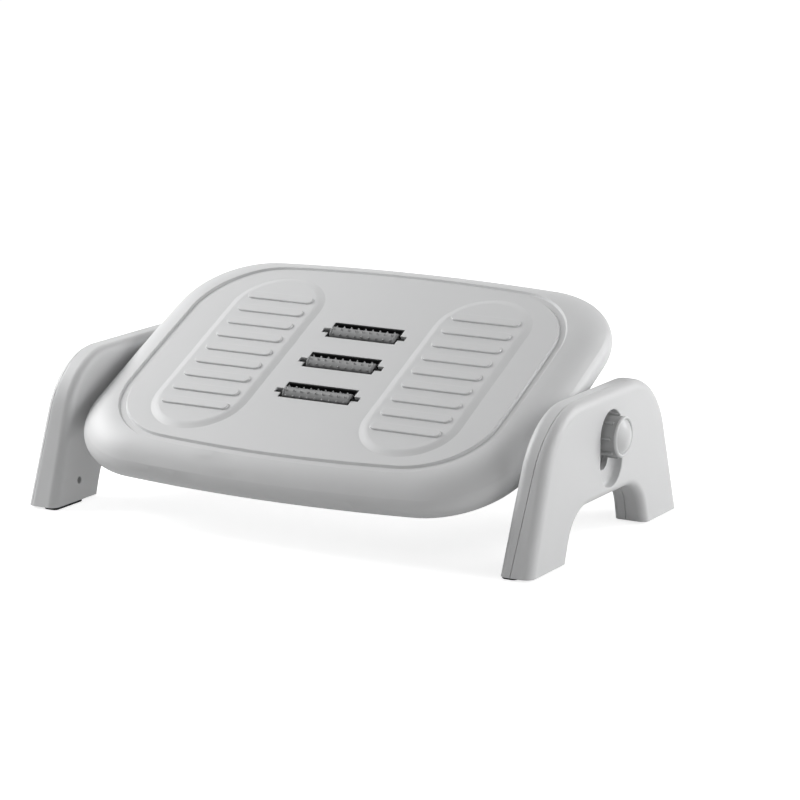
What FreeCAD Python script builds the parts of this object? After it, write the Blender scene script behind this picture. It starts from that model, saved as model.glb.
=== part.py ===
import FreeCAD, Part
import math
import os
import Sketcher

# A foot rest with three massage rollers. Two moulded stands carry a tilting platform on clamp knobs.
# X runs to the right, Y to the back and Z up. The origin is on the floor, in the middle of the footprint.

doc = FreeCAD.newDocument("FootRest")
sheet = doc.addObject("Spreadsheet::Sheet", "Sizes")

# Lengths are in millimetres and angles in degrees. A lean is sideways run per unit of height.
# The screws of each stand are given for the right stand and used mirrored on the left one.
sizes = [
    ("stand_half_depth", "152"),
    ("stand_top", "136.5"),
    ("stand_side_angle", "19.3"),
    ("shoulder_radius", "73"),
    ("stand_thickness", "31"),
    ("plate_side_gap", "0.3"),
    ("inner_face_lean", "0.03"),
    ("outer_face_lean", "0.015"),
    ("outer_edge_radius", "9"),
    ("inner_edge_radius", "8"),
    ("arch_half_depth", "81"),
    ("arch_top", "43.5"),
    ("arch_radius", "39"),
    ("arch_outer_edge_radius", "7"),
    ("arch_inner_edge_radius", "4.5"),
    ("stand_wall", "2.5"),
    ("right_seam_depth", "11.1"),
    ("right_seam_lean", "0.065"),
    ("left_seam_depth", "25.6"),
    ("left_seam_lean", "-0.028"),
    ("seam_gap", "0.5"),
    ("rubber_height", "2.5"),
    ("rubber_side_inset", "1"),
    ("rubber_end_inset", "4"),
    ("rubber_half_width", "7"),
    ("rubber_half_length", "22"),
    ("rubber_corner_radius", "4"),
    ("rubber_chamfer", "0.4"),
    ("pivot_y", "5.5"),
    ("pivot_z", "96.7"),
    ("height_travel", "21"),
    ("recess_radius", "22.6"),
    ("recess_depth", "9.6"),
    ("recess_corner_radius", "3"),
    ("recess_mouth_radius", "0.9"),
    ("recess_spare", "2.5"),
    ("slot_half_width", "11"),
    ("slide_clearance", "0.3"),
    ("land_depth", "4"),
    ("land_margin", "2"),
    ("face_gap", "0.05"),
    ("foot_screw_end_inset", "41"),
    ("foot_screw_z", "21"),
    ("shoulder_screw_spread", "36"),
    ("shoulder_screw_rise", "9.3"),
    ("right_boss_joint_depth", "10"),
    ("left_boss_joint_depth", "17"),
    ("boss_radius", "5"),
    ("boss_floor", "2.5"),
    ("screw_radius", "1.75"),
    ("screw_head_radius", "3"),
    ("screw_head_height", "2"),
    ("screw_length", "13"),
    ("screw_clearance", "0.1"),
    ("plate_half_width", "222.5"),
    ("plate_half_depth", "165.5"),
    ("plate_corner_radius", "84.5"),
    ("side_arc_radius", "4500"),
    ("end_arc_radius", "1850"),
    ("edge_run", "34"),
    ("edge_drop", "22.5"),
    ("edge_side_radius", "14"),
    ("plate_height", "29.5"),
    ("plate_wall", "3"),
    ("tilt", "25.7"),
    ("pivot_back", "9.35"),
    ("pivot_drop", "50.65"),
    ("ring_side_inset", "31.6"),
    ("ring_end_inset", "23.3"),
    ("ring_corner_radius", "80"),
    ("ring_width", "8.4"),
    ("ring_depth", "2"),
    ("ring_root", "4.6"),
    ("ring_draft", "38"),
    ("ring_side_arc_radius", "3500"),
    ("ring_end_arc_radius", "1350"),
    ("foot_pad_x", "106.3"),
    ("foot_pad_half_width", "39"),
    ("foot_pad_half_length", "109.5"),
    ("foot_pad_slope", "9"),
    ("foot_pad_height", "2"),
    ("rib_length", "68.5"),
    ("rib_width", "10"),
    ("rib_height", "1.7"),
    ("rib_edge_radius", "0.9"),
    ("rib_pitch", "20.7"),
    ("window_width", "71.6"),
    ("window_depth", "22.6"),
    ("window_pitch", "46.5"),
    ("window_offset", "1.65"),
    ("liner_thickness", "1.4"),
    ("liner_drop", "0.3"),
    ("liner_clearance", "0.1"),
    ("notch_width", "6.5"),
    ("notch_half_span", "42.5"),
    ("roller_length", "66"),
    ("roller_radius", "6.6"),
    ("roller_lip_width", "1.3"),
    ("roller_lip_height", "0.5"),
    ("roller_drop", "4"),
    ("roller_row_shift", "-0.9"),
    ("well_clearance", "0.6"),
    ("stud_height", "1.75"),
    ("stud_radius", "1.7"),
    ("stud_pitch", "7.4"),
    ("front_roller_turn", "17"),
    ("middle_roller_turn", "5"),
    ("rear_roller_turn", "5"),
    ("axle_radius", "3"),
    ("running_fit", "0.1"),
    ("cradle_half_width", "49"),
    ("cradle_half_depth", "61"),
    ("cradle_bottom", "19.5"),
    ("panel_thickness", "2.5"),
    ("panel_inset", "5"),
    ("panel_rib_depth", "5"),
    ("panel_rib_width", "2"),
    ("panel_rib_pitch", "38"),
    ("corner_boss_side_inset", "48"),
    ("corner_boss_end_inset", "59"),
    ("end_boss_inset", "41"),
    ("side_boss_inset", "34"),
    ("side_boss_y", "40"),
    ("ear_inset", "8"),
    ("ear_thickness", "8"),
    ("ear_half_length", "46"),
    ("ear_boss_radius", "17"),
    ("ear_boss_inside", "3.2"),
    ("ear_boss_entry", "1.5"),
    ("gusset_length", "38"),
    ("gusset_drop", "24"),
    ("gusset_thickness", "2.5"),
    ("gusset_spread", "13"),
    ("washer_radius", "16.5"),
    ("bolt_radius", "4"),
    ("bolt_head_flats", "13"),
    ("bolt_head_height", "5.5"),
    ("bolt_reach", "3"),
    ("bolt_clearance", "0.06"),
    ("knob_radius", "18"),
    ("knob_rib_radius", "19.8"),
    ("knob_rib_width", "2.8"),
    ("knob_reach", "11"),
    ("knob_rim_rounding", "0.5"),
    ("knob_back_chamfer", "1.6"),
    ("knob_collar", "3"),
    ("knob_turn", "42"),
    ("cap_plug_radius", "15.6"),
    ("cap_seat_depth", "3"),
    ("cap_radius", "18.2"),
    ("cap_edge_height", "2.4"),
    ("cap_bead_radius", "1.5"),
    ("cap_rise", "4"),
    ("insert_radius", "7"),
    ("insert_length", "13"),
    # Worked out from the sizes above.
    ("stand_inner_x", "=plate_half_width + plate_side_gap"),
    ("stand_outer_x", "=stand_inner_x + stand_thickness"),
    ("right_seam_x", "=stand_inner_x + right_seam_depth"),
    ("left_seam_x", "=stand_inner_x + left_seam_depth"),
    ("rubber_x", "=stand_inner_x + rubber_side_inset + rubber_half_width"),
    ("rubber_y", "=stand_half_depth - rubber_end_inset - rubber_half_length"),
    ("recess_floor_x", "=stand_outer_x - recess_depth"),
    ("land_x", "=stand_inner_x + land_depth"),
    ("foot_screw_y", "=stand_half_depth - foot_screw_end_inset"),
    ("shoulder_screw_z", "=pivot_z + shoulder_screw_rise"),
    ("right_boss_joint_x", "=stand_inner_x + right_boss_joint_depth"),
    ("left_boss_joint_x", "=stand_inner_x + left_boss_joint_depth"),
    ("well_half_width", "=window_width / 2 - liner_clearance - liner_thickness"),
    ("well_half_depth", "=window_depth / 2 - liner_clearance - liner_thickness"),
    ("ring_half_width", "=plate_half_width - ring_side_inset"),
    ("ring_half_depth", "=plate_half_depth - ring_end_inset"),
    ("ring_spread", "=ring_root * tan(ring_draft)"),
    ("corner_boss_x", "=plate_half_width - corner_boss_side_inset"),
    ("corner_boss_y", "=plate_half_depth - corner_boss_end_inset"),
    ("end_boss_y", "=plate_half_depth - end_boss_inset"),
    ("side_boss_x", "=plate_half_width - side_boss_inset"),
    ("ear_inner_x", "=stand_inner_x - ear_inset - ear_thickness"),
    ("ear_boss_inner_x", "=ear_inner_x - ear_boss_inside"),
    ("ear_boss_outer_x", "=stand_inner_x + ear_boss_entry"),
    ("bolt_end_x", "=stand_outer_x + bolt_reach"),
    ("knob_rim_x", "=stand_outer_x + knob_reach"),
    ("knob_end_x", "=knob_rim_x - cap_edge_height"),
    ("bead_x", "=knob_rim_x - cap_bead_radius"),
    ("cap_top_x", "=knob_rim_x + cap_rise"),
    ("ear_seat_x", "=ear_boss_inner_x + bolt_head_height + 4 * face_gap"),
    ("slot_low_z", "=pivot_z - height_travel"),
    ("recess_low_z", "=slot_low_z - recess_spare"),
    ("land_radius", "=washer_radius + land_margin"),
    ("knob_face_x", "=recess_floor_x + slide_clearance"),
    ("plate_base_y", "=pivot_y - pivot_back * cos(tilt) - pivot_drop * sin(tilt)"),
    ("plate_front_reach", "=(plate_half_depth - edge_side_radius) * cos(tilt) - edge_drop * sin(tilt)"),
    ("plate_front_y", "=plate_base_y - plate_front_reach - edge_side_radius"),
    ("shift_y", "=-(plate_front_y + stand_half_depth) / 2"),
    ("plate_centre_y", "=plate_base_y + shift_y"),
    ("plate_centre_z", "=pivot_z - pivot_back * sin(tilt) + pivot_drop * cos(tilt)"),
]
for row, (name, text) in enumerate(sizes, start=1):
    sheet.set("A%d" % row, name)
    sheet.set("B%d" % row, text)
    sheet.setAlias("B%d" % row, name)
doc.recompute()


def value(expression):
    return float(sheet.evalExpression(expression))


def bind(item, path, expression):
    item.setExpression(path, expression)


def origin_plane(body, role):
    for feature in body.Origin.OriginFeatures:
        if feature.Role == role:
            return feature


def new_body(name):
    return doc.addObject("PartDesign::Body", name)


def new_sketch(body, name, role, offset="0"):
    sketch = body.newObject("Sketcher::SketchObject", name)
    sketch.AttachmentSupport = (origin_plane(body, role), [""])
    sketch.MapMode = "FlatFace"
    bind(sketch, ".AttachmentOffset.Base.z", offset)
    return sketch


def dimension(sketch, kind, name, expression, *elements):
    number = sketch.addConstraint(Sketcher.Constraint(kind, *elements, value(expression)))
    sketch.renameConstraint(number, name)
    bind(sketch, "Constraints." + name, expression)


def rule(sketch, kind, *elements):
    sketch.addConstraint(Sketcher.Constraint(kind, *elements))


def line(sketch, start, end):
    first = FreeCAD.Vector(start[0], start[1], 0)
    second = FreeCAD.Vector(end[0], end[1], 0)
    return sketch.addGeometry(Part.LineSegment(first, second))


def arc(sketch, centre, radius, start_angle, end_angle):
    circle = Part.Circle(FreeCAD.Vector(centre[0], centre[1], 0), FreeCAD.Vector(0, 0, 1), radius)
    return sketch.addGeometry(Part.ArcOfCircle(circle, start_angle, end_angle))


def pad(body, sketch, length, both_ways=False):
    feature = body.newObject("PartDesign::Pad", sketch.Name + "_pad")
    feature.Profile = sketch
    feature.Length = value(length)
    bind(feature, "Length", length)
    if both_ways:
        feature.SideType = "Symmetric"
    return feature


def pocket_through(body, sketch):
    feature = body.newObject("PartDesign::Pocket", sketch.Name + "_pocket")
    feature.Profile = sketch
    feature.Type = "ThroughAll"
    feature.SideType = "Symmetric"
    return feature


def revolve(body, sketch, axis):
    feature = body.newObject("PartDesign::Revolution", sketch.Name + "_turned")
    feature.Profile = sketch
    feature.ReferenceAxis = (sketch, [axis])
    feature.Angle = 360
    return feature


def fillet(body, base, names, radius):
    feature = body.newObject("PartDesign::Fillet", base.Name + "_round")
    feature.Base = (base, names)
    feature.Radius = value(radius)
    bind(feature, "Radius", radius)
    return feature


def polygon(sketch, points):
    count = len(points)
    for index in range(count):
        line(sketch, points[index], points[(index + 1) % count])
    for index in range(count):
        rule(sketch, "Coincident", index, 2, (index + 1) % count, 1)


def box(name, x, y, z, length, width, height):
    item = doc.addObject("Part::Box", name)
    for path, expression in (("Length", length), ("Width", width), ("Height", height)):
        bind(item, path, expression)
    for path, expression in (("x", x), ("y", y), ("z", z)):
        bind(item, ".Placement.Base." + path, expression)
    return item


def cylinder(name, axis, x, y, z, radius, length):
    item = doc.addObject("Part::Cylinder", name)
    if axis == "X":
        item.Placement.Rotation = FreeCAD.Rotation(FreeCAD.Vector(0, 1, 0), 90)
    bind(item, "Radius", radius)
    bind(item, "Height", length)
    for path, expression in (("x", x), ("y", y), ("z", z)):
        bind(item, ".Placement.Base." + path, expression)
    return item


def fuse(name, items):
    item = doc.addObject("Part::MultiFuse", name)
    item.Shapes = items
    item.Refine = True
    return item


def cut(name, base, tool):
    item = doc.addObject("Part::Cut", name)
    item.Base = base
    item.Tool = tool
    item.Refine = True
    return item


def common(name, first, second):
    item = doc.addObject("Part::Common", name)
    item.Base = first
    item.Tool = second
    item.Refine = True
    return item


def mirrored(name, source, normal):
    item = doc.addObject("Part::Mirroring", name)
    item.Source = source
    item.Normal = normal
    return item


def group(name, items):
    item = doc.addObject("Part::Compound", name)
    item.Links = items
    return item


def to_frame(item, x="0", y="0", z="0"):
    bind(item, ".Placement.Base.x", x)
    bind(item, ".Placement.Base.y", "Sizes.shift_y + " + y)
    bind(item, ".Placement.Base.z", z)
    return item


def to_plate(item, x="0", along="0", up="0"):
    # The platform's pieces are drawn flat round its centre, then tilted and lifted into place.
    item.Placement.Rotation = FreeCAD.Rotation(FreeCAD.Vector(1, 0, 0), value("Sizes.tilt"))
    bind(item, ".Placement.Rotation.Angle", "Sizes.tilt")
    bind(item, ".Placement.Base.x", x)
    across = "(%s) * cos(Sizes.tilt) - (%s) * sin(Sizes.tilt)" % (along, up)
    height = "(%s) * sin(Sizes.tilt) + (%s) * cos(Sizes.tilt)" % (along, up)
    bind(item, ".Placement.Base.y", "Sizes.plate_centre_y + " + across)
    bind(item, ".Placement.Base.z", "Sizes.plate_centre_z + " + height)
    return item


def rounded_trapezoid(sketch, half_depth, bottom, top, radius):
    # A flat base, two sides that lean inwards at the stand's angle, and round shoulders.
    corner = "%s - tan(Sizes.stand_side_angle) * (%s - (%s))" % (half_depth, top, bottom)
    centre_y = "%s - (%s) / tan((90 + Sizes.stand_side_angle) / 2)" % (corner, radius)
    half = value(half_depth)
    low = value(bottom)
    high = value(top)
    round_radius = value(radius)
    centre = value(centre_y)
    lean = math.radians(value("Sizes.stand_side_angle"))
    side_y = centre + round_radius * math.cos(lean)
    side_z = high - round_radius + round_radius * math.sin(lean)
    line(sketch, (-half, low), (half, low))
    line(sketch, (half, low), (side_y, side_z))
    arc(sketch, (centre, high - round_radius), round_radius, lean, math.pi / 2)
    line(sketch, (centre, high), (-centre, high))
    arc(sketch, (-centre, high - round_radius), round_radius, math.pi / 2, math.pi - lean)
    line(sketch, (-side_y, side_z), (-half, low))
    rule(sketch, "Coincident", 0, 2, 1, 1)
    rule(sketch, "Coincident", 5, 2, 0, 1)
    for index in range(1, 5):
        rule(sketch, "Tangent", index, 2, index + 1, 1)
    rule(sketch, "Symmetric", 0, 1, 0, 2, -2)
    rule(sketch, "Horizontal", 3)
    dimension(sketch, "DistanceX", "half_depth", half_depth, 0, 2)
    dimension(sketch, "DistanceY", "bottom", bottom, 0, 2)
    dimension(sketch, "DistanceY", "top", top, 3, 1)
    dimension(sketch, "Radius", "right_shoulder", radius, 2)
    dimension(sketch, "Radius", "left_shoulder", radius, 4)
    dimension(sketch, "DistanceX", "right_centre", centre_y, 2, 3)
    dimension(sketch, "DistanceX", "left_centre", "-(%s)" % centre_y, 4, 3)


def face_wedge(sketch, base_x, lean, side):
    # The sliver between an upright plane and a stand's leaning face.
    low = "Sizes.rubber_height"
    high = "Sizes.stand_top"
    shift = "%s * (%s - %s)" % (lean, high, low)
    top_x = "%s + (%s) * %d" % (base_x, shift, -side)
    first = (value(base_x), value(low))
    second = (value(base_x), value(high))
    third = (value(top_x), value(high))
    polygon(sketch, [first, second, third])
    rule(sketch, "Vertical", 0)
    rule(sketch, "Horizontal", 1)
    dimension(sketch, "DistanceX", "base_x", base_x, 0, 1)
    dimension(sketch, "DistanceY", "low", low, 0, 1)
    dimension(sketch, "DistanceY", "high", high, 1, 2)
    dimension(sketch, "DistanceX", "top_x", top_x, 1, 2)


def edges_where(shape, test):
    names = []
    for index, edge in enumerate(shape.Edges, start=1):
        points = edge.discretize(5)
        if all(test(point) for point in points):
            names.append("Edge%d" % index)
    return names


def stand_form(name, inset):
    # The stand's soft outer form, or the hollow inside it when the inset is the wall thickness.
    body = new_body(name)
    bottom = "Sizes.rubber_height + %s" % inset
    inner_x = "Sizes.stand_inner_x + %s * (1 + Sizes.inner_face_lean)" % inset
    outer_x = "Sizes.stand_outer_x - %s * (1 + Sizes.outer_face_lean)" % inset
    side_inset = "%s * (tan(Sizes.stand_side_angle) + 1 / cos(Sizes.stand_side_angle))" % inset
    half_depth = "Sizes.stand_half_depth - %s" % side_inset
    outline = new_sketch(body, name + "_outline", "YZ_Plane", inner_x)
    rounded_trapezoid(outline, half_depth, bottom, "Sizes.stand_top - %s" % inset,
                      "Sizes.shoulder_radius - %s" % inset)
    pad(body, outline, "%s - (%s)" % (outer_x, inner_x))
    inner = new_sketch(body, name + "_inner_lean", "XZ_Plane")
    face_wedge(inner, inner_x, "Sizes.inner_face_lean", -1)
    pocket_through(body, inner)
    outer = new_sketch(body, name + "_outer_lean", "XZ_Plane")
    face_wedge(outer, outer_x, "Sizes.outer_face_lean", 1)
    leaning = pocket_through(body, outer)
    doc.recompute()
    base_z = value("Sizes.rubber_height")
    floor = value(bottom)

    def on_inner(point):
        target = value(inner_x) + value("Sizes.inner_face_lean") * (point.z - base_z)
        return abs(point.x - target) < 0.01

    def on_outer(point):
        target = value(outer_x) - value("Sizes.outer_face_lean") * (point.z - base_z)
        return abs(point.x - target) < 0.01

    def above(edge_test):
        names = edges_where(leaning.Shape, edge_test)
        flat = edges_where(leaning.Shape, lambda point: abs(point.z - floor) < 0.01)
        return [item for item in names if item not in flat]

    rounded = fillet(body, leaning, above(on_outer), "Sizes.outer_edge_radius - %s" % inset)
    doc.recompute()
    names = edges_where(rounded.Shape, on_inner)
    flat = edges_where(rounded.Shape, lambda point: abs(point.z - floor) < 0.01)
    names = [item for item in names if item not in flat]
    fillet(body, rounded, names, "Sizes.inner_edge_radius - %s" % inset)

    arch = new_sketch(body, name + "_arch", "YZ_Plane")
    arch_half = "Sizes.arch_half_depth + %s / cos(Sizes.stand_side_angle)" % inset
    arch_half = arch_half + " + tan(Sizes.stand_side_angle) * Sizes.rubber_height"
    rounded_trapezoid(arch, arch_half, "0", "Sizes.arch_top + %s" % inset,
                      "Sizes.arch_radius + %s" % inset)
    opened = pocket_through(body, arch)
    doc.recompute()
    return body, opened, on_inner, on_outer, floor


def finish_arch(body, opened, on_inner, on_outer, floor, inset):
    half = value("Sizes.arch_half_depth") + 8
    top = value("Sizes.arch_top") + 8

    def arch_edge(face_test):
        return lambda point: face_test(point) and abs(point.y) < half and point.z < top

    names = edges_where(opened.Shape, arch_edge(on_outer))
    flat = edges_where(opened.Shape, lambda point: abs(point.z - floor) < 0.01)
    names = [item for item in names if item not in flat]
    softened = fillet(body, opened, names, "Sizes.arch_outer_edge_radius - %s" % inset)
    doc.recompute()
    names = edges_where(softened.Shape, arch_edge(on_inner))
    flat = edges_where(softened.Shape, lambda point: abs(point.z - floor) < 0.01)
    names = [item for item in names if item not in flat]
    fillet(body, softened, names, "Sizes.arch_inner_edge_radius - %s" % inset)
    doc.recompute()


def stadium(name, radius, start_x, end_x, corner=None, low_z="Sizes.slot_low_z"):
    # A tall slot shape round the knob's travel, drawn across the stand.
    body = new_body(name)
    sketch = new_sketch(body, name + "_outline", "YZ_Plane", start_x)
    wide = value(radius)
    low = value(low_z)
    high = value("Sizes.pivot_z")
    middle = value("Sizes.pivot_y")
    arc(sketch, (middle, high), wide, 0, math.pi)
    line(sketch, (middle - wide, high), (middle - wide, low))
    arc(sketch, (middle, low), wide, math.pi, 2 * math.pi)
    line(sketch, (middle + wide, low), (middle + wide, high))
    for index in range(4):
        rule(sketch, "Tangent", index, 2, (index + 1) % 4, 1)
    dimension(sketch, "Radius", "upper_radius", radius, 0)
    dimension(sketch, "Radius", "lower_radius", radius, 2)
    dimension(sketch, "DistanceX", "upper_y", "Sizes.pivot_y", 0, 3)
    dimension(sketch, "DistanceX", "lower_y", "Sizes.pivot_y", 2, 3)
    dimension(sketch, "DistanceY", "upper_z", "Sizes.pivot_z", 0, 3)
    dimension(sketch, "DistanceY", "lower_z", low_z, 2, 3)
    feature = pad(body, sketch, "%s - (%s)" % (end_x, start_x))
    doc.recompute()
    if corner:
        near = value(start_x)
        names = edges_where(feature.Shape, lambda point: abs(point.x - near) < 0.01)
        fillet(body, feature, names, corner)
    return body


# The stands: one hollow form with its knob recess and slot, mirrored, then split at each seam.
form, opened, on_inner, on_skin, floor = stand_form("stand_skin", "0")
finish_arch(form, opened, on_inner, on_skin, floor, "0")
hollow, opened, on_inner, on_outer, floor = stand_form("stand_hollow", "Sizes.stand_wall")
finish_arch(hollow, opened, on_inner, on_outer, floor, "Sizes.stand_wall")

recess = stadium("knob_recess", "Sizes.recess_radius", "Sizes.recess_floor_x", "Sizes.stand_outer_x + 2",
                 "Sizes.recess_corner_radius", "Sizes.recess_low_z")
slot = stadium("travel_slot", "Sizes.slot_half_width", "Sizes.stand_inner_x - 2", "Sizes.stand_outer_x + 2")
land = stadium("washer_land", "Sizes.land_radius", "Sizes.stand_inner_x - 2", "Sizes.land_x")
recess_cup = stadium("recess_cup", "Sizes.recess_radius + Sizes.stand_wall",
                     "Sizes.recess_floor_x - Sizes.stand_wall", "Sizes.stand_outer_x + 1",
                     low_z="Sizes.recess_low_z")
slot_tube = stadium("slot_tube", "Sizes.slot_half_width + Sizes.stand_wall",
                    "Sizes.stand_inner_x - 1", "Sizes.stand_outer_x + 1")
land_cup = stadium("land_cup", "Sizes.land_radius + Sizes.stand_wall", "Sizes.stand_inner_x - 1",
                   "Sizes.land_x + Sizes.stand_wall")
guide_walls = fuse("guide_walls", [recess_cup, slot_tube, land_cup])
stand_space = cut("stand_space", hollow, guide_walls)
stand_solid = cut("stand_solid", form, stand_space)
knob_openings = fuse("knob_openings", [recess, slot, land])
sharp_stand = cut("sharp_stand", stand_solid, knob_openings)
doc.recompute()


def on_mouth(point):
    # True on the edge where the knob recess meets the stand's outer face.
    nearest = min(max(point.z, value("Sizes.recess_low_z")), value("Sizes.pivot_z"))
    reach = math.hypot(point.y - value("Sizes.pivot_y"), point.z - nearest)
    return on_skin(point) and abs(reach - value("Sizes.recess_radius")) < 0.05


right_stand = doc.addObject("Part::Fillet", "right_stand")
right_stand.Base = sharp_stand
mouth_radius = value("Sizes.recess_mouth_radius")
mouth_edges = []
for edge_name in edges_where(sharp_stand.Shape, on_mouth):
    mouth_edges.append((int(edge_name[4:]), mouth_radius, mouth_radius))
right_stand.Edges = mouth_edges
left_stand = mirrored("left_stand", right_stand, FreeCAD.Vector(1, 0, 0))


def seam_block(name, seam_x, seam_lean, gap_sign):
    # Everything outside a slightly leaning seam plane, as a block that is longer than the stand.
    body = new_body(name)
    sketch = new_sketch(body, name + "_outline", "XZ_Plane")
    gap = "Sizes.seam_gap / 2 * %d" % gap_sign
    base_x = "%s + %s" % (seam_x, gap)
    top_x = "%s + %s * Sizes.stand_top + %s" % (seam_x, seam_lean, gap)
    far_x = "Sizes.stand_outer_x + 20"
    first = (value(base_x), 0)
    second = (value(far_x), 0)
    third = (value(far_x), value("Sizes.stand_top"))
    fourth = (value(top_x), value("Sizes.stand_top"))
    polygon(sketch, [first, second, third, fourth])
    rule(sketch, "Horizontal", 0)
    rule(sketch, "Vertical", 1)
    rule(sketch, "Horizontal", 2)
    rule(sketch, "PointOnObject", 0, 1, -1)
    dimension(sketch, "DistanceX", "base_x", base_x, 0, 1)
    dimension(sketch, "DistanceX", "far_x", far_x, 0, 2)
    dimension(sketch, "DistanceY", "top_z", "Sizes.stand_top", 2, 2)
    dimension(sketch, "DistanceX", "top_x", top_x, 2, 2)
    pad(body, sketch, "Sizes.stand_half_depth * 2 + 40", True)
    return body


screw_places = []
for side_y in (-1, 1):
    screw_places.append(("Sizes.foot_screw_y * %d" % side_y, "Sizes.foot_screw_z"))
    screw_places.append(("Sizes.pivot_y + Sizes.shoulder_screw_spread * %d" % side_y,
                         "Sizes.shoulder_screw_z"))


def stand_bosses(side, sign):
    # Screw bosses inside one stand. The inner ones carry the screw heads, the outer ones the threads.
    inner = []
    outer = []
    holes = []
    joint = "Sizes.%s_boss_joint_x" % side
    for number, (y, z) in enumerate(screw_places, start=1):
        skin = "Sizes.stand_inner_x + Sizes.inner_face_lean * (%s - Sizes.rubber_height)" % z
        skin = skin + " + Sizes.stand_wall / 2"
        wall = "Sizes.stand_outer_x - Sizes.outer_face_lean * (%s - Sizes.rubber_height)" % z
        wall = wall + " - Sizes.stand_wall / 2"
        label = "%s_boss_%d" % (side, number)
        head_x = "%s - Sizes.boss_floor" % joint
        end_x = "%s + Sizes.screw_length + 0.5" % head_x
        margin = "Sizes.screw_radius + Sizes.screw_clearance"
        inner_radius = "Sizes.boss_radius + Sizes.stand_wall / 3"
        inner.append(cylinder(label + "_inner", "X", skin, y, z, inner_radius, "%s - (%s)" % (joint, skin)))
        outer.append(cylinder(label + "_outer", "X", joint, y, z, "Sizes.boss_radius",
                              "%s - (%s)" % (wall, joint)))
        holes.append(cylinder(label + "_bore", "X", head_x, y, z, margin, "%s - (%s)" % (end_x, head_x)))
        holes.append(cylinder(label + "_head", "X", "Sizes.stand_inner_x - 5", y, z,
                              "Sizes.screw_head_radius + 3 * Sizes.screw_clearance",
                              "%s - (Sizes.stand_inner_x - 5)" % head_x))
    groups = []
    for kind, items in (("inner", inner), ("outer", outer), ("holes", holes)):
        joined = fuse("%s_boss_%s" % (side, kind), items)
        if sign < 0:
            joined = mirrored("%s_boss_%s_mirrored" % (side, kind), joined, FreeCAD.Vector(1, 0, 0))
        groups.append(joined)
    return groups


finished = {}
for side, sign, stand, inner_name, outer_name in (
        ("right", 1, right_stand, "right_stand_inner_cover", "right_stand_outer_shell"),
        ("left", -1, left_stand, "left_stand_inner_shell", "left_stand_outer_cover")):
    seam_x = "Sizes.%s_seam_x" % side
    seam_lean = "Sizes.%s_seam_lean" % side
    beyond = seam_block(side + "_beyond_seam", seam_x, seam_lean, 1)
    before = seam_block(side + "_before_seam", seam_x, seam_lean, -1)
    if sign < 0:
        beyond = mirrored(side + "_beyond_mirrored", beyond, FreeCAD.Vector(1, 0, 0))
        before = mirrored(side + "_before_mirrored", before, FreeCAD.Vector(1, 0, 0))
    inner_bosses, outer_bosses, holes = stand_bosses(side, sign)
    inner_half = cut(side + "_inner_half", stand, before)
    inner_clear = cut(side + "_inner_clear", inner_half, outer_bosses)
    inner_whole = fuse(side + "_inner_whole", [inner_clear, inner_bosses])
    inner_piece = cut(inner_name, inner_whole, holes)
    outer_half = common(side + "_outer_half", stand, beyond)
    outer_clear = cut(side + "_outer_clear", outer_half, inner_bosses)
    outer_whole = fuse(side + "_outer_whole", [outer_clear, outer_bosses])
    outer_piece = cut(outer_name, outer_whole, holes)
    finished[inner_name] = to_frame(inner_piece)
    finished[outer_name] = to_frame(outer_piece)


# One screw, drawn with its head's seat at the origin and its shank along Z.
screw = new_body("screw")
screw_sketch = new_sketch(screw, "screw_profile", "XZ_Plane")
shank = value("Sizes.screw_radius")
head = value("Sizes.screw_head_radius")
length = value("Sizes.screw_length")
height = value("Sizes.screw_head_height")
tip = value("Sizes.screw_radius / 2")
polygon(screw_sketch, [(0, -height), (head * 0.7, -height), (head, -height / 2), (head, 0), (shank, 0),
                       (shank, length - 2 * tip), (tip, length), (0, length)])
rule(screw_sketch, "Horizontal", 0)
rule(screw_sketch, "Vertical", 2)
rule(screw_sketch, "Horizontal", 3)
rule(screw_sketch, "Vertical", 4)
rule(screw_sketch, "Horizontal", 6)
rule(screw_sketch, "PointOnObject", 0, 1, -2)
rule(screw_sketch, "PointOnObject", 7, 1, -2)
rule(screw_sketch, "PointOnObject", 3, 1, -1)
dimension(screw_sketch, "DistanceY", "head_top", "-Sizes.screw_head_height", 0, 1)
dimension(screw_sketch, "DistanceX", "head_flat", "Sizes.screw_head_radius * 0.7", 0, 2)
dimension(screw_sketch, "DistanceX", "head_radius", "Sizes.screw_head_radius", 2, 1)
dimension(screw_sketch, "DistanceY", "head_side", "-Sizes.screw_head_height / 2", 2, 1)
dimension(screw_sketch, "DistanceX", "shank_radius", "Sizes.screw_radius", 4, 1)
dimension(screw_sketch, "DistanceY", "shank_end", "Sizes.screw_length - Sizes.screw_radius", 5, 1)
dimension(screw_sketch, "DistanceX", "tip_radius", "Sizes.screw_radius / 2", 6, 1)
dimension(screw_sketch, "DistanceY", "tip_end", "Sizes.screw_length", 6, 1)
revolve(screw, screw_sketch, "V_Axis")
doc.recompute()


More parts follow.
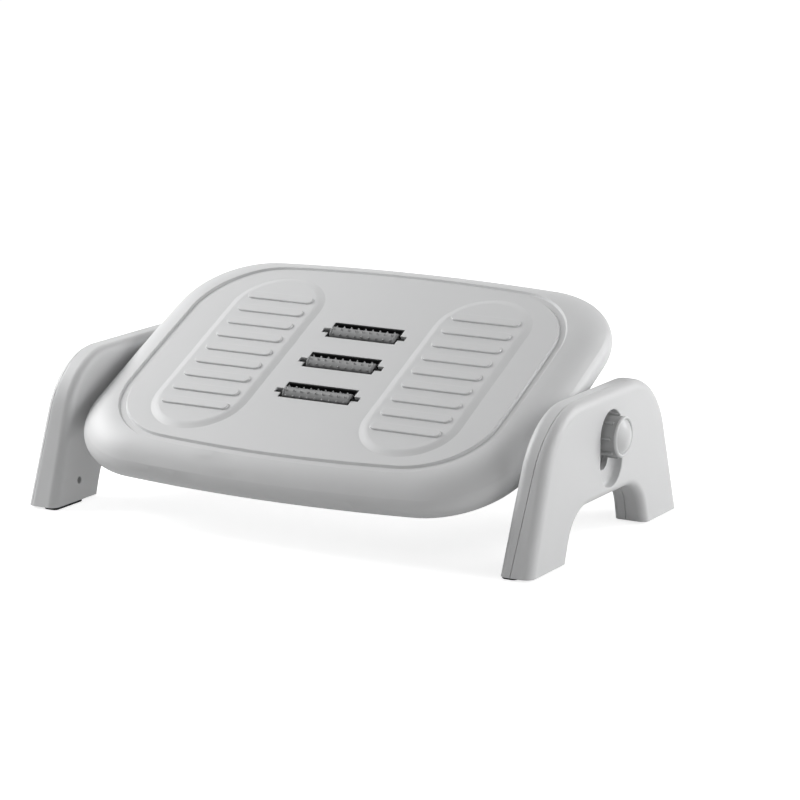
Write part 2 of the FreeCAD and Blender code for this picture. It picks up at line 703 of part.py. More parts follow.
def cross_recess():
    # A shallow cross in the screw's head.
    sketch = new_sketch(screw, "screw_cross", "XY_Plane", "-Sizes.screw_head_height")
    wide = value("Sizes.screw_head_radius * 0.16")
    reach = value("Sizes.screw_head_radius * 0.62")
    points = [(wide, wide), (wide, reach), (-wide, reach), (-wide, wide), (-reach, wide), (-reach, -wide),
              (-wide, -wide), (-wide, -reach), (wide, -reach), (wide, -wide), (reach, -wide), (reach, wide)]
    polygon(sketch, points)
    for index in (0, 2, 6, 8):
        rule(sketch, "Vertical", index)
    for index in (1, 3, 5, 7, 9, 11):
        rule(sketch, "Horizontal", index)
    for index in (4, 10):
        rule(sketch, "Vertical", index)
    rule(sketch, "Symmetric", 0, 1, 6, 1, -1, 1)
    rule(sketch, "Symmetric", 3, 1, 9, 1, -1, 1)
    width = "Sizes.screw_head_radius * 0.16"
    reach = "Sizes.screw_head_radius * 0.62"
    dimension(sketch, "DistanceX", "right", width, 0, 1)
    dimension(sketch, "DistanceY", "right_up", width, 0, 1)
    dimension(sketch, "DistanceX", "left", "-" + width, 3, 1)
    dimension(sketch, "DistanceY", "left_up", width, 3, 1)
    dimension(sketch, "DistanceY", "reach_up", reach, 1, 1)
    dimension(sketch, "DistanceY", "reach_down", "-" + reach, 7, 1)
    dimension(sketch, "DistanceX", "reach_left", "-" + reach, 5, 1)
    dimension(sketch, "DistanceX", "reach_right", reach, 10, 1)
    feature = screw.newObject("PartDesign::Pocket", "screw_cross_pocket")
    feature.Profile = sketch
    feature.Reversed = True
    bind(feature, "Length", "Sizes.screw_head_height / 2")


cross_recess()

stand_screws = []
for side, sign in (("right", 1), ("left", -1)):
    for number, (y, z) in enumerate(screw_places, start=1):
        item = group("%s_stand_screw_%d" % (side, number), [screw])
        item.Placement.Rotation = FreeCAD.Rotation(FreeCAD.Vector(0, 1, 0), 90 * sign)
        x = "(Sizes.%s_boss_joint_x - Sizes.boss_floor) * %d" % (side, sign)
        to_frame(item, x, y, z)
        stand_screws.append(item)
finished["stand_screws"] = group("stand_screws", stand_screws)

# The rubber pads under the four feet.
rubber = new_body("rubber")
rubber_sketch = new_sketch(rubber, "rubber_outline", "XY_Plane")
half_x = value("Sizes.rubber_half_width")
half_y = value("Sizes.rubber_half_length")
polygon(rubber_sketch, [(half_x, -half_y), (half_x, half_y), (-half_x, half_y), (-half_x, -half_y)])
rule(rubber_sketch, "Vertical", 0)
rule(rubber_sketch, "Horizontal", 1)
rule(rubber_sketch, "Vertical", 2)
rule(rubber_sketch, "Horizontal", 3)
rule(rubber_sketch, "Symmetric", 0, 2, 2, 2, -1, 1)
dimension(rubber_sketch, "DistanceX", "half_width", "Sizes.rubber_half_width", 0, 2)
dimension(rubber_sketch, "DistanceY", "half_length", "Sizes.rubber_half_length", 0, 2)
rubber_pad = pad(rubber, rubber_sketch, "Sizes.rubber_height")
doc.recompute()


def at_corner(point):
    return abs(abs(point.x) - half_x) + abs(abs(point.y) - half_y) < 0.01


upright = edges_where(rubber_pad.Shape, at_corner)
rubber_round = fillet(rubber, rubber_pad, upright, "Sizes.rubber_corner_radius")
doc.recompute()
rubber_chamfer = rubber.newObject("PartDesign::Chamfer", "rubber_chamfer")
rubber_chamfer.Base = (rubber_round, edges_where(rubber_round.Shape, lambda point: abs(point.z) < 0.01))
bind(rubber_chamfer, "Size", "Sizes.rubber_chamfer")
for side, sign in (("right", 1), ("left", -1)):
    for place, end in (("front", -1), ("back", 1)):
        name = "%s_%s_rubber_foot" % (side, place)
        foot = group(name, [rubber])
        finished[name] = to_frame(foot, "Sizes.rubber_x * %d" % sign, "Sizes.rubber_y * %d" % end)


def turned_ring(name, start_x, end_x, outer, bore):
    # A plain turned ring round the X axis.
    shell = cylinder(name + "_outside", "X", start_x, "0", "0", outer, "%s - (%s)" % (end_x, start_x))
    hole = cylinder(name + "_inside", "X", "%s - 1" % start_x, "0", "0", bore,
                    "%s - (%s) + 2" % (end_x, start_x))
    return cut(name, shell, hole)


slide_block = turned_ring("slide_block", "Sizes.land_x + Sizes.face_gap",
                          "Sizes.recess_floor_x - Sizes.slide_clearance",
                          "Sizes.slot_half_width - Sizes.slide_clearance",
                          "Sizes.bolt_radius + Sizes.running_fit")
friction_washer = turned_ring("friction_washer", "Sizes.ear_boss_outer_x + Sizes.face_gap",
                              "Sizes.land_x - Sizes.face_gap", "Sizes.washer_radius",
                              "Sizes.bolt_radius + Sizes.slide_clearance")
knob_insert = turned_ring("knob_insert", "Sizes.knob_face_x + 0.5", "Sizes.knob_face_x + Sizes.insert_length",
                          "Sizes.insert_radius", "Sizes.bolt_radius + Sizes.running_fit")

# The pivot bolt: a hex head inside the ear and a shank out to the knob.
bolt_head = doc.addObject("Part::Prism", "bolt_head")
bolt_head.Polygon = 6
bind(bolt_head, "Circumradius", "Sizes.bolt_head_flats / 2 / cos(30)")
bind(bolt_head, "Height", "Sizes.bolt_head_height")
bolt_head.Placement.Rotation = FreeCAD.Rotation(FreeCAD.Vector(0, 1, 0), 90)
bind(bolt_head, ".Placement.Base.x", "Sizes.ear_seat_x - Sizes.bolt_head_height")
bolt_shank = cylinder("bolt_shank", "X", "Sizes.ear_seat_x - 1", "0", "0", "Sizes.bolt_radius",
                      "Sizes.bolt_end_x - Sizes.ear_seat_x + 1")
bolt_blank = fuse("bolt_blank", [bolt_head, bolt_shank])
doc.recompute()
pivot_bolt = doc.addObject("Part::Chamfer", "pivot_bolt")
pivot_bolt.Base = bolt_blank
end_x = value("Sizes.bolt_end_x")
end_edges = []
for index, edge in enumerate(bolt_blank.Shape.Edges, start=1):
    if all(abs(point.x - end_x) < 0.01 for point in edge.discretize(4)):
        end_edges.append((index, 0.8, 0.8))
pivot_bolt.Edges = end_edges

# The clamp knob's body: a turned grip with eight ribs, a bore for the insert and a seat for the cap.
knob = new_body("knob")
knob_sketch = new_sketch(knob, "knob_profile", "XZ_Plane")
face = value("Sizes.knob_face_x")
rim = value("Sizes.knob_end_x")
grip = value("Sizes.knob_radius")
rounding = value("Sizes.knob_rim_rounding")
chamfer = value("Sizes.knob_back_chamfer")
bore = value("Sizes.insert_radius + Sizes.face_gap")
seat = value("Sizes.cap_plug_radius + Sizes.face_gap")
floor_x = value("Sizes.knob_end_x - Sizes.cap_seat_depth")
bore_end = value("Sizes.knob_face_x + Sizes.insert_length + 0.5")
points = [(bore_end, 0), (bore_end, bore), (face, bore), (face, grip - chamfer), (face + chamfer, grip),
          (rim - rounding, grip), (rim, grip - rounding), (rim, seat), (floor_x, seat), (floor_x, 0)]
for index in range(5):
    line(knob_sketch, points[index], points[index + 1])
arc(knob_sketch, (rim - rounding, grip - rounding), rounding, 0, math.pi / 2)
for index in range(6, 9):
    line(knob_sketch, points[index], points[index + 1])
line(knob_sketch, points[9], points[0])
for index in range(4):
    rule(knob_sketch, "Coincident", index, 2, index + 1, 1)
rule(knob_sketch, "Tangent", 4, 2, 5, 2)
rule(knob_sketch, "Tangent", 5, 1, 6, 1)
for index in range(6, 9):
    rule(knob_sketch, "Coincident", index, 2, index + 1, 1)
rule(knob_sketch, "Coincident", 9, 2, 0, 1)
for index in (0, 2, 6, 8):
    rule(knob_sketch, "Vertical", index)
for index in (1, 4, 7, 9):
    rule(knob_sketch, "Horizontal", index)
rule(knob_sketch, "PointOnObject", 0, 1, -1)
dimension(knob_sketch, "DistanceX", "bore_end", "Sizes.knob_face_x + Sizes.insert_length + 0.5", 0, 1)
dimension(knob_sketch, "DistanceY", "bore", "Sizes.insert_radius + Sizes.face_gap", 1, 1)
dimension(knob_sketch, "DistanceX", "face", "Sizes.knob_face_x", 2, 1)
dimension(knob_sketch, "DistanceY", "face_radius", "Sizes.knob_radius - Sizes.knob_back_chamfer", 3, 1)
dimension(knob_sketch, "DistanceX", "back_chamfer", "Sizes.knob_face_x + Sizes.knob_back_chamfer", 4, 1)
dimension(knob_sketch, "DistanceY", "grip", "Sizes.knob_radius", 4, 1)
dimension(knob_sketch, "Radius", "rim_rounding", "Sizes.knob_rim_rounding", 5)
dimension(knob_sketch, "DistanceX", "rim", "Sizes.knob_end_x", 6, 1)
dimension(knob_sketch, "DistanceY", "seat", "Sizes.cap_plug_radius + Sizes.face_gap", 7, 1)
dimension(knob_sketch, "DistanceX", "seat_floor", "Sizes.knob_end_x - Sizes.cap_seat_depth", 8, 1)
knob_turned = revolve(knob, knob_sketch, "H_Axis")
rib_sketch = new_sketch(knob, "knob_rib", "YZ_Plane", "Sizes.knob_face_x + 2 * Sizes.knob_back_chamfer")
half = value("Sizes.knob_rib_width / 2")
outer = value("Sizes.knob_rib_radius")
inner = value("Sizes.knob_radius - 1.5")
line(rib_sketch, (half, inner), (half, outer - half))
arc(rib_sketch, (0, outer - half), half, 0, math.pi)
line(rib_sketch, (-half, outer - half), (-half, inner))
line(rib_sketch, (-half, inner), (half, inner))
rule(rib_sketch, "Tangent", 0, 2, 1, 1)
rule(rib_sketch, "Tangent", 1, 2, 2, 1)
rule(rib_sketch, "Coincident", 2, 2, 3, 1)
rule(rib_sketch, "Coincident", 3, 2, 0, 1)
rule(rib_sketch, "Vertical", 0)
rule(rib_sketch, "Horizontal", 3)
rule(rib_sketch, "PointOnObject", 1, 3, -2)
dimension(rib_sketch, "Radius", "rib_nose", "Sizes.knob_rib_width / 2", 1)
dimension(rib_sketch, "DistanceY", "rib_top", "Sizes.knob_rib_radius - Sizes.knob_rib_width / 2", 1, 3)
dimension(rib_sketch, "DistanceY", "rib_root", "Sizes.knob_radius - 1.5", 0, 1)
rib_length = "Sizes.knob_end_x - Sizes.knob_face_x - 2 * Sizes.knob_back_chamfer - Sizes.knob_collar"
rib = pad(knob, rib_sketch, rib_length)
ribs = knob.newObject("PartDesign::PolarPattern", "knob_ribs")
ribs.Originals = [rib]
ribs.Axis = (knob_sketch, ["H_Axis"])
ribs.Angle = 360
ribs.Occurrences = 8
knob.Tip = ribs

# The knob's cap: a plug in the knob's seat, a rim with a round bead, and a low dome inside the bead.
cap = new_body("cap")
cap_sketch = new_sketch(cap, "cap_profile", "XZ_Plane")
plug = value("Sizes.cap_plug_radius")
cap_edge = value("Sizes.cap_radius")
bead = value("Sizes.cap_bead_radius")
bead_x = value("Sizes.bead_x")
cap_top = value("Sizes.cap_top_x")
cap_floor = value("Sizes.knob_end_x - Sizes.cap_seat_depth + Sizes.face_gap")
cap_seat = value("Sizes.knob_end_x + Sizes.face_gap")
dome_edge = cap_edge - 2 * bead
rise = cap_top - bead_x
dome = (dome_edge * dome_edge + rise * rise) / (2 * rise)
line(cap_sketch, (cap_floor, 0), (cap_floor, plug))
line(cap_sketch, (cap_floor, plug), (cap_seat, plug))
line(cap_sketch, (cap_seat, plug), (cap_seat, cap_edge))
line(cap_sketch, (cap_seat, cap_edge), (bead_x, cap_edge))
arc(cap_sketch, (bead_x, cap_edge - bead), bead, -math.pi / 2, math.pi / 2)
arc(cap_sketch, (cap_top - dome, 0), dome, 0, math.asin(dome_edge / dome))
line(cap_sketch, (cap_top, 0), (cap_floor, 0))
for index in range(3):
    rule(cap_sketch, "Coincident", index, 2, index + 1, 1)
rule(cap_sketch, "Tangent", 3, 2, 4, 2)
rule(cap_sketch, "Coincident", 4, 1, 5, 2)
rule(cap_sketch, "Coincident", 5, 1, 6, 1)
rule(cap_sketch, "Coincident", 6, 2, 0, 1)
rule(cap_sketch, "Vertical", 0)
rule(cap_sketch, "Horizontal", 1)
rule(cap_sketch, "Vertical", 2)
rule(cap_sketch, "Horizontal", 3)
rule(cap_sketch, "PointOnObject", 0, 1, -1)
rule(cap_sketch, "PointOnObject", 6, 1, -1)
rule(cap_sketch, "PointOnObject", 5, 3, -1)
dimension(cap_sketch, "DistanceX", "floor", "Sizes.knob_end_x - Sizes.cap_seat_depth + Sizes.face_gap", 0, 1)
dimension(cap_sketch, "DistanceY", "plug", "Sizes.cap_plug_radius", 1, 1)
dimension(cap_sketch, "DistanceX", "seat", "Sizes.knob_end_x + Sizes.face_gap", 2, 1)
dimension(cap_sketch, "DistanceY", "edge", "Sizes.cap_radius", 3, 1)
dimension(cap_sketch, "DistanceX", "bead_x", "Sizes.bead_x", 3, 2)
dimension(cap_sketch, "Radius", "bead", "Sizes.cap_bead_radius", 4)
dimension(cap_sketch, "DistanceX", "bead_inside", "Sizes.bead_x", 4, 1)
dimension(cap_sketch, "DistanceX", "top", "Sizes.cap_top_x", 6, 1)
revolve(cap, cap_sketch, "H_Axis")
doc.recompute()

# Both sides get the same pivot pieces, the left ones mirrored. The bolts tilt with the platform.
turned = {"pivot_bolt": "Sizes.tilt", "knob_body": "Sizes.knob_turn"}
for base_name, source in (("slide_block", slide_block), ("friction_washer", friction_washer),
                          ("pivot_bolt", pivot_bolt), ("knob_insert", knob_insert),
                          ("knob_body", knob), ("knob_cap", cap)):
    twin = mirrored(base_name + "_twin", source, FreeCAD.Vector(1, 0, 0))
    for side, item in (("right", source), ("left", twin)):
        name = "%s_%s" % (side, base_name)
        piece = to_frame(group(name, [item]), "0", "Sizes.pivot_y", "Sizes.pivot_z")
        if base_name in turned:
            piece.Placement.Rotation = FreeCAD.Rotation(FreeCAD.Vector(1, 0, 0), value(turned[base_name]))
            bind(piece, ".Placement.Rotation.Angle", turned[base_name])
        finished[name] = piece


def eight_arcs(sketch, half_width, half_depth, corner, side_arc, end_arc):
    # The platform's outline: bowed sides and ends, with round corners tangent to both.
    first = sketch.GeometryCount
    start = "outline_%d_" % first
    half_x = value(half_width)
    half_y = value(half_depth)
    round_radius = value(corner)
    side = value(side_arc)
    end = value(end_arc)
    side_x = half_x - side
    end_y = half_y - end
    reach_side = side - round_radius
    reach_end = end - round_radius
    gap = math.hypot(side_x, end_y)
    along = (reach_side ** 2 - reach_end ** 2 + gap ** 2) / (2 * gap)
    across = math.sqrt(reach_side ** 2 - along ** 2)
    unit_x = -side_x / gap
    unit_y = end_y / gap
    corner_x = side_x + along * unit_x - across * unit_y
    corner_y = along * unit_y + across * unit_x
    low = math.atan2(corner_y, corner_x - side_x)
    high = math.atan2(corner_y - end_y, corner_x)
    turn = math.pi
    arc(sketch, (side_x, 0), side, -low, low)
    arc(sketch, (corner_x, corner_y), round_radius, low, high)
    arc(sketch, (0, end_y), end, high, turn - high)
    arc(sketch, (-corner_x, corner_y), round_radius, turn - high, turn - low)
    arc(sketch, (-side_x, 0), side, turn - low, turn + low)
    arc(sketch, (-corner_x, -corner_y), round_radius, turn + low, turn + high)
    arc(sketch, (0, -end_y), end, turn + high, 2 * turn - high)
    arc(sketch, (corner_x, -corner_y), round_radius, 2 * turn - high, 2 * turn - low)
    for index in range(8):
        rule(sketch, "Tangent", first + index, 2, first + (index + 1) % 8, 1)
    for index, axis in ((0, -1), (4, -1), (2, -2), (6, -2)):
        rule(sketch, "PointOnObject", first + index, 3, axis)
    for index in (0, 4):
        dimension(sketch, "Radius", start + "side_%d" % index, side_arc, first + index)
    for index in (2, 6):
        dimension(sketch, "Radius", start + "end_%d" % index, end_arc, first + index)
    for index in (1, 3, 5, 7):
        dimension(sketch, "Radius", start + "corner_%d" % index, corner, first + index)
    dimension(sketch, "DistanceX", start + "right", "%s - (%s)" % (half_width, side_arc), first, 3)
    dimension(sketch, "DistanceX", start + "left", "%s - (%s)" % (side_arc, half_width), first + 4, 3)
    dimension(sketch, "DistanceY", start + "back", "%s - (%s)" % (half_depth, end_arc), first + 2, 3)
    dimension(sketch, "DistanceY", start + "front", "%s - (%s)" % (end_arc, half_depth), first + 6, 3)


def plate_outline(sketch, inset):
    eight_arcs(sketch, "Sizes.plate_half_width - (%s)" % inset, "Sizes.plate_half_depth - (%s)" % inset,
               "Sizes.plate_corner_radius - (%s)" % inset, "Sizes.side_arc_radius - (%s)" % inset,
               "Sizes.end_arc_radius - (%s)" % inset)


def pillow(name, inset, extra_depth="0"):
    # The platform's soft-edged form, swept round its outline and filled in the middle.
    body = new_body(name)
    path = new_sketch(body, name + "_path", "XY_Plane")
    plate_outline(path, "0")
    edge = new_sketch(body, name + "_edge", "XZ_Plane")
    bottom = "-Sizes.plate_height - %s" % extra_depth
    top_x = "Sizes.plate_half_width - Sizes.edge_run"
    inner_x = top_x + " - 10"
    side_x = "Sizes.plate_half_width - Sizes.edge_side_radius"
    side_radius = "Sizes.edge_side_radius - %s" % inset
    run = value("Sizes.edge_run")
    drop = value("Sizes.edge_drop")
    small = value("Sizes.edge_side_radius")
    skin = value(inset)
    large = (run * run + drop * drop - 2 * run * small) / (2 * (drop - small))
    joint = math.atan2(large - drop, run - small)
    low = value(bottom)
    foot = -math.asin((-low - drop) / (small - skin))
    foot_x = value(side_x) + (small - skin) * math.cos(foot)
    line(edge, (value(inner_x), -skin), (value(top_x), -skin))
    arc(edge, (value(top_x), -large), large - skin, joint, math.pi / 2)
    arc(edge, (value(side_x), -drop), small - skin, foot, joint)
    line(edge, (foot_x, low), (value(inner_x), low))
    line(edge, (value(inner_x), low), (value(inner_x), -skin))
    rule(edge, "Tangent", 0, 2, 1, 2)
    rule(edge, "Tangent", 1, 1, 2, 2)
    rule(edge, "Coincident", 2, 1, 3, 1)
    rule(edge, "Coincident", 3, 2, 4, 1)
    rule(edge, "Coincident", 4, 2, 0, 1)
    rule(edge, "Horizontal", 0)
    rule(edge, "Horizontal", 3)
    rule(edge, "Vertical", 4)
    dimension(edge, "Radius", "side_radius", side_radius, 2)
    dimension(edge, "DistanceX", "side_x", side_x, 2, 3)
    dimension(edge, "DistanceY", "side_drop", "-Sizes.edge_drop", 2, 3)
    dimension(edge, "DistanceX", "top_x", top_x, 0, 2)
    dimension(edge, "DistanceX", "inner_x", inner_x, 4, 1)
    dimension(edge, "DistanceY", "bottom", bottom, 4, 1)
    if skin:
        dimension(edge, "DistanceY", "top", "-%s" % inset, 0, 1)
    else:
        rule(edge, "PointOnObject", 0, 1, -1)
    swept = body.newObject("PartDesign::AdditivePipe", name + "_swept")
    swept.Profile = edge
    swept.Spine = path
    middle = new_sketch(body, name + "_middle", "XY_Plane", bottom)
    plate_outline(middle, "Sizes.edge_run + 5")
    pad(body, middle, "Sizes.plate_height + %s - %s" % (extra_depth, inset))
    doc.recompute()
    return body


top_form = pillow("top_form", "0")
top_hollow = pillow("top_hollow", "Sizes.plate_wall", "1.5")
groove_limit = pillow("groove_limit", "Sizes.ring_depth")

top_shell = cut("top_plain", top_form, top_hollow)

# The ring channel round the foot pads: a shallow groove that follows the plate's soft edge.
ring_sides = []
for name, inset, draft in (("ring_outside", "Sizes.ring_spread", "Sizes.ring_draft"),
                           ("ring_inside", "Sizes.ring_width - Sizes.ring_spread", "-Sizes.ring_draft")):
    ring_side = new_body(name)
    ring_sketch = new_sketch(ring_side, name + "_line", "XY_Plane", "-Sizes.ring_root")
    eight_arcs(ring_sketch, "Sizes.ring_half_width - (%s)" % inset, "Sizes.ring_half_depth - (%s)" % inset,
               "Sizes.ring_corner_radius - (%s)" % inset, "Sizes.ring_side_arc_radius - (%s)" % inset,
               "Sizes.ring_end_arc_radius - (%s)" % inset)
    ring_pad = pad(ring_side, ring_sketch, "Sizes.ring_root + 1")
    ring_pad.TaperAngle = value(draft)
    bind(ring_pad, "TaperAngle", draft)
    ring_sides.append(ring_side)
ring = cut("ring", ring_sides[0], ring_sides[1])
ring_groove = cut("ring_groove", ring, groove_limit)


def long_slot(sketch, half_straight, radius, along_y):
    # A slot shape round the sketch's origin.
    wide = value(radius)
    half = value(half_straight)
    turn = math.pi
    if along_y:
        arc(sketch, (0, half), wide, 0, turn)
        line(sketch, (-wide, half), (-wide, -half))
        arc(sketch, (0, -half), wide, turn, 2 * turn)
        line(sketch, (wide, -half), (wide, half))
        axis, kind = -2, "DistanceY"
    else:
        arc(sketch, (half, 0), wide, -turn / 2, turn / 2)
        line(sketch, (half, wide), (-half, wide))
        arc(sketch, (-half, 0), wide, turn / 2, 3 * turn / 2)
        line(sketch, (-half, -wide), (half, -wide))
        axis, kind = -1, "DistanceX"
    for index in range(4):
        rule(sketch, "Tangent", index, 2, (index + 1) % 4, 1)
    rule(sketch, "PointOnObject", 0, 3, axis)
    rule(sketch, "PointOnObject", 2, 3, axis)
    dimension(sketch, "Radius", "first_radius", radius, 0)
    dimension(sketch, "Radius", "second_radius", radius, 2)
    dimension(sketch, kind, "first_centre", half_straight, 0, 3)
    dimension(sketch, kind, "second_centre", "-(%s)" % half_straight, 2, 3)


# One raised foot pad with soft slopes and its nine ribs, drawn round its own centre.
pad_crown = new_body("pad_crown")
straight = "Sizes.foot_pad_half_length - Sizes.foot_pad_half_width"
slope_steps = [("-0.06", "-0.08"), ("0.22", "0.12"), ("0.5", "0.5"), ("0.78", "0.88"), ("1", "1")]
slope_lines = []
for number, (run, rise) in enumerate(slope_steps):
    level = "Sizes.foot_pad_height * %s" % rise
    slope_line = new_sketch(pad_crown, "foot_pad_line_%d" % number, "XY_Plane", level)
    wide = "Sizes.foot_pad_half_width + Sizes.foot_pad_slope * (1 - (%s))" % run
    long_slot(slope_line, straight, wide, True)
    slope_lines.append(slope_line)
slope = pad_crown.newObject("PartDesign::AdditiveLoft", "foot_pad_slope")
slope.Profile = slope_lines[0]
slope.Sections = slope_lines[1:]
rib_bar = new_body("rib_bar")
rib_sketch = new_sketch(rib_bar, "rib_outline", "XY_Plane", "Sizes.foot_pad_height / 2")
long_slot(rib_sketch, "Sizes.rib_length / 2 - Sizes.rib_width / 2", "Sizes.rib_width / 2", False)
rib_pad = pad(rib_bar, rib_sketch, "Sizes.foot_pad_height / 2 + Sizes.rib_height")
doc.recompute()
rib_top = value("Sizes.foot_pad_height + Sizes.rib_height")
fillet(rib_bar, rib_pad, edges_where(rib_pad.Shape, lambda point: abs(point.z - rib_top) < 0.01),
       "Sizes.rib_edge_radius")
foot_ribs = []
for step in range(-4, 5):
    foot_rib = group("foot_rib_%d" % (step + 5), [rib_bar])
    bind(foot_rib, ".Placement.Base.y", "Sizes.rib_pitch * %d" % step)
    foot_ribs.append(foot_rib)
foot_pad = fuse("foot_pad", [pad_crown] + foot_ribs)
right_pad = group("right_foot_pad", [foot_pad])
bind(right_pad, ".Placement.Base.x", "Sizes.foot_pad_x")
left_pad = group("left_foot_pad", [foot_pad])
bind(left_pad, ".Placement.Base.x", "-Sizes.foot_pad_x")

# Where the screws from below join the base to the top shell.
boss_places = []
for sign_x in (-1, 1):
    for sign_y in (-1, 1):
        boss_places.append(("corner", sign_x, sign_y))
        boss_places.append(("side", sign_x, sign_y))
for sign_y in (-1, 1):
    boss_places.append(("end", 0, sign_y))

boss_tubes = []
boss_bores = []
for number, (kind, sign_x, sign_y) in enumerate(boss_places, start=1):
    x = "0"
    if sign_x:
        x = "Sizes.%s_boss_x * %d" % (kind, sign_x)
    y = "Sizes.%s_boss_y * %d" % (kind, sign_y)
    boss_tubes.append(cylinder("top_boss_%d" % number, "Z", x, y, "-Sizes.cradle_bottom", "Sizes.boss_radius",
                               "Sizes.cradle_bottom - Sizes.plate_wall / 2"))
    boss_bores.append(cylinder("top_boss_bore_%d" % number, "Z", x, y, "-Sizes.cradle_bottom - 5",
                               "Sizes.screw_radius + Sizes.screw_clearance",
                               "Sizes.screw_length + 0.5 + 5 - Sizes.panel_thickness"))

windows = []
wells = []
liners = []
for number in range(3):
    row = "Sizes.window_pitch * %d + Sizes.roller_row_shift" % (number - 1)
    place = row + " + Sizes.window_offset"
    windows.append(box("window_%d" % number, "-Sizes.window_width / 2", "%s - Sizes.window_depth / 2" % place,
                       "-Sizes.plate_wall - 1", "Sizes.window_width", "Sizes.window_depth", "20"))
    windows.append(box("window_notch_%d" % number, "-Sizes.notch_half_span",
                       "%s - Sizes.notch_width / 2" % row, "-Sizes.plate_wall - 1",
                       "2 * Sizes.notch_half_span", "Sizes.notch_width", "20"))
    liners.append(box("liner_%d" % number, "Sizes.liner_clearance - Sizes.window_width / 2",
                      "%s - Sizes.window_depth / 2 + Sizes.liner_clearance" % place, "-Sizes.plate_wall - 1",
                      "Sizes.window_width - 2 * Sizes.liner_clearance",
                      "Sizes.window_depth - 2 * Sizes.liner_clearance",
                      "Sizes.plate_wall + 1 - Sizes.liner_drop"))
    wells.append(cylinder("well_%d" % number, "X", "-Sizes.well_half_width", row, "-Sizes.roller_drop",
                          "Sizes.roller_radius + Sizes.stud_height + Sizes.well_clearance",
                          "2 * Sizes.well_half_width"))
    wells.append(box("well_mouth_%d" % number, "-Sizes.well_half_width", "%s - Sizes.well_half_depth" % place,
                     "-Sizes.roller_drop", "2 * Sizes.well_half_width", "2 * Sizes.well_half_depth", "20"))
    wells.append(cylinder("axle_seat_%d" % number, "X", "-Sizes.notch_half_span", row, "-Sizes.roller_drop",
                          "Sizes.notch_width / 2", "2 * Sizes.notch_half_span"))
    wells.append(box("axle_mouth_%d" % number, "-Sizes.notch_half_span", "%s - Sizes.notch_width / 2" % row,
                     "-Sizes.roller_drop", "2 * Sizes.notch_half_span", "Sizes.notch_width", "20"))

top_raised = fuse("top_raised", [top_shell, right_pad, left_pad] + boss_tubes)
top_cuts = fuse("top_cuts", windows + boss_bores)
top_grooved = cut("top_grooved", top_raised, ring_groove)
finished["platform_top_shell"] = to_plate(cut("platform_top_shell", top_grooved, top_cuts))

# The dark roller cradle under the windows, with a liner that comes up inside each window.
cradle_block = box("cradle_block", "-Sizes.cradle_half_width", "-Sizes.cradle_half_depth",
                   "-Sizes.cradle_bottom + Sizes.face_gap", "2 * Sizes.cradle_half_width",
                   "2 * Sizes.cradle_half_depth",
                   "Sizes.cradle_bottom - Sizes.plate_wall - 2 * Sizes.face_gap")
well_space = fuse("well_space", wells)
cradle_solid = fuse("cradle_solid", [cradle_block] + liners)
finished["roller_cradle"] = to_plate(cut("roller_cradle", cradle_solid, well_space))

# One massage roller: a turned sleeve with eight rows of nine small pointed studs.
roller = new_body("roller")
sleeve_sketch = new_sketch(roller, "sleeve_profile", "XZ_Plane")
half = value("Sizes.roller_length / 2")
bore = value("Sizes.axle_radius + Sizes.running_fit")
skin = value("Sizes.roller_radius")
lip = value("Sizes.roller_lip_width")
lip_top = value("Sizes.roller_radius + Sizes.roller_lip_height")
polygon(sleeve_sketch, [(-half, bore), (half, bore), (half, lip_top), (half - lip, lip_top),
                        (half - lip, skin), (lip - half, skin), (lip - half, lip_top), (-half, lip_top)])
for index in (0, 2, 4, 6):
    rule(sleeve_sketch, "Horizontal", index)
for index in (1, 3, 5, 7):
    rule(sleeve_sketch, "Vertical", index)
dimension(sleeve_sketch, "DistanceX", "right_end", "Sizes.roller_length / 2", 0, 2)
dimension(sleeve_sketch, "DistanceX", "left_end", "-Sizes.roller_length / 2", 0, 1)
dimension(sleeve_sketch, "DistanceX", "right_lip", "Sizes.roller_length / 2 - Sizes.roller_lip_width", 3, 2)
dimension(sleeve_sketch, "DistanceX", "left_lip", "Sizes.roller_lip_width - Sizes.roller_length / 2", 5, 2)
dimension(sleeve_sketch, "DistanceY", "bore", "Sizes.axle_radius + Sizes.running_fit", 0, 2)
dimension(sleeve_sketch, "DistanceY", "skin", "Sizes.roller_radius", 4, 1)
dimension(sleeve_sketch, "DistanceY", "right_lip_top", "Sizes.roller_radius + Sizes.roller_lip_height", 2, 1)
dimension(sleeve_sketch, "DistanceY", "left_lip_top", "Sizes.roller_radius + Sizes.roller_lip_height", 7, 1)
revolve(roller, sleeve_sketch, "H_Axis")
stud_sketch = new_sketch(roller, "stud_base", "XY_Plane", "Sizes.roller_radius - 0.6")
stud_radius = value("Sizes.stud_radius")
stud_x = value("-4 * Sizes.stud_pitch")
corners = []
for index in range(6):
    angle = math.pi * index / 3
    corners.append((stud_x + stud_radius * math.cos(angle), stud_radius * math.sin(angle)))
polygon(stud_sketch, corners)
guide = Part.Circle(FreeCAD.Vector(stud_x, 0, 0), FreeCAD.Vector(0, 0, 1), stud_radius)
ring_guide = stud_sketch.addGeometry(guide, True)
for index in range(6):
    rule(stud_sketch, "PointOnObject", index, 1, ring_guide)
for index in range(1, 6):
    rule(stud_sketch, "Equal", 0, index)
rule(stud_sketch, "PointOnObject", ring_guide, 3, -1)
rule(stud_sketch, "PointOnObject", 0, 1, -1)
dimension(stud_sketch, "Radius", "stud_radius", "Sizes.stud_radius", ring_guide)
dimension(stud_sketch, "DistanceX", "stud_place", "-4 * Sizes.stud_pitch", ring_guide, 3)
stud = pad(roller, stud_sketch, "Sizes.stud_height + 0.6")
bind(stud, "TaperAngle", "-atan((Sizes.stud_radius - 0.25) * 0.866 / (Sizes.stud_height + 0.6))")
stud_rows = roller.newObject("PartDesign::MultiTransform", "stud_rows")
stud_rows.Originals = [stud]
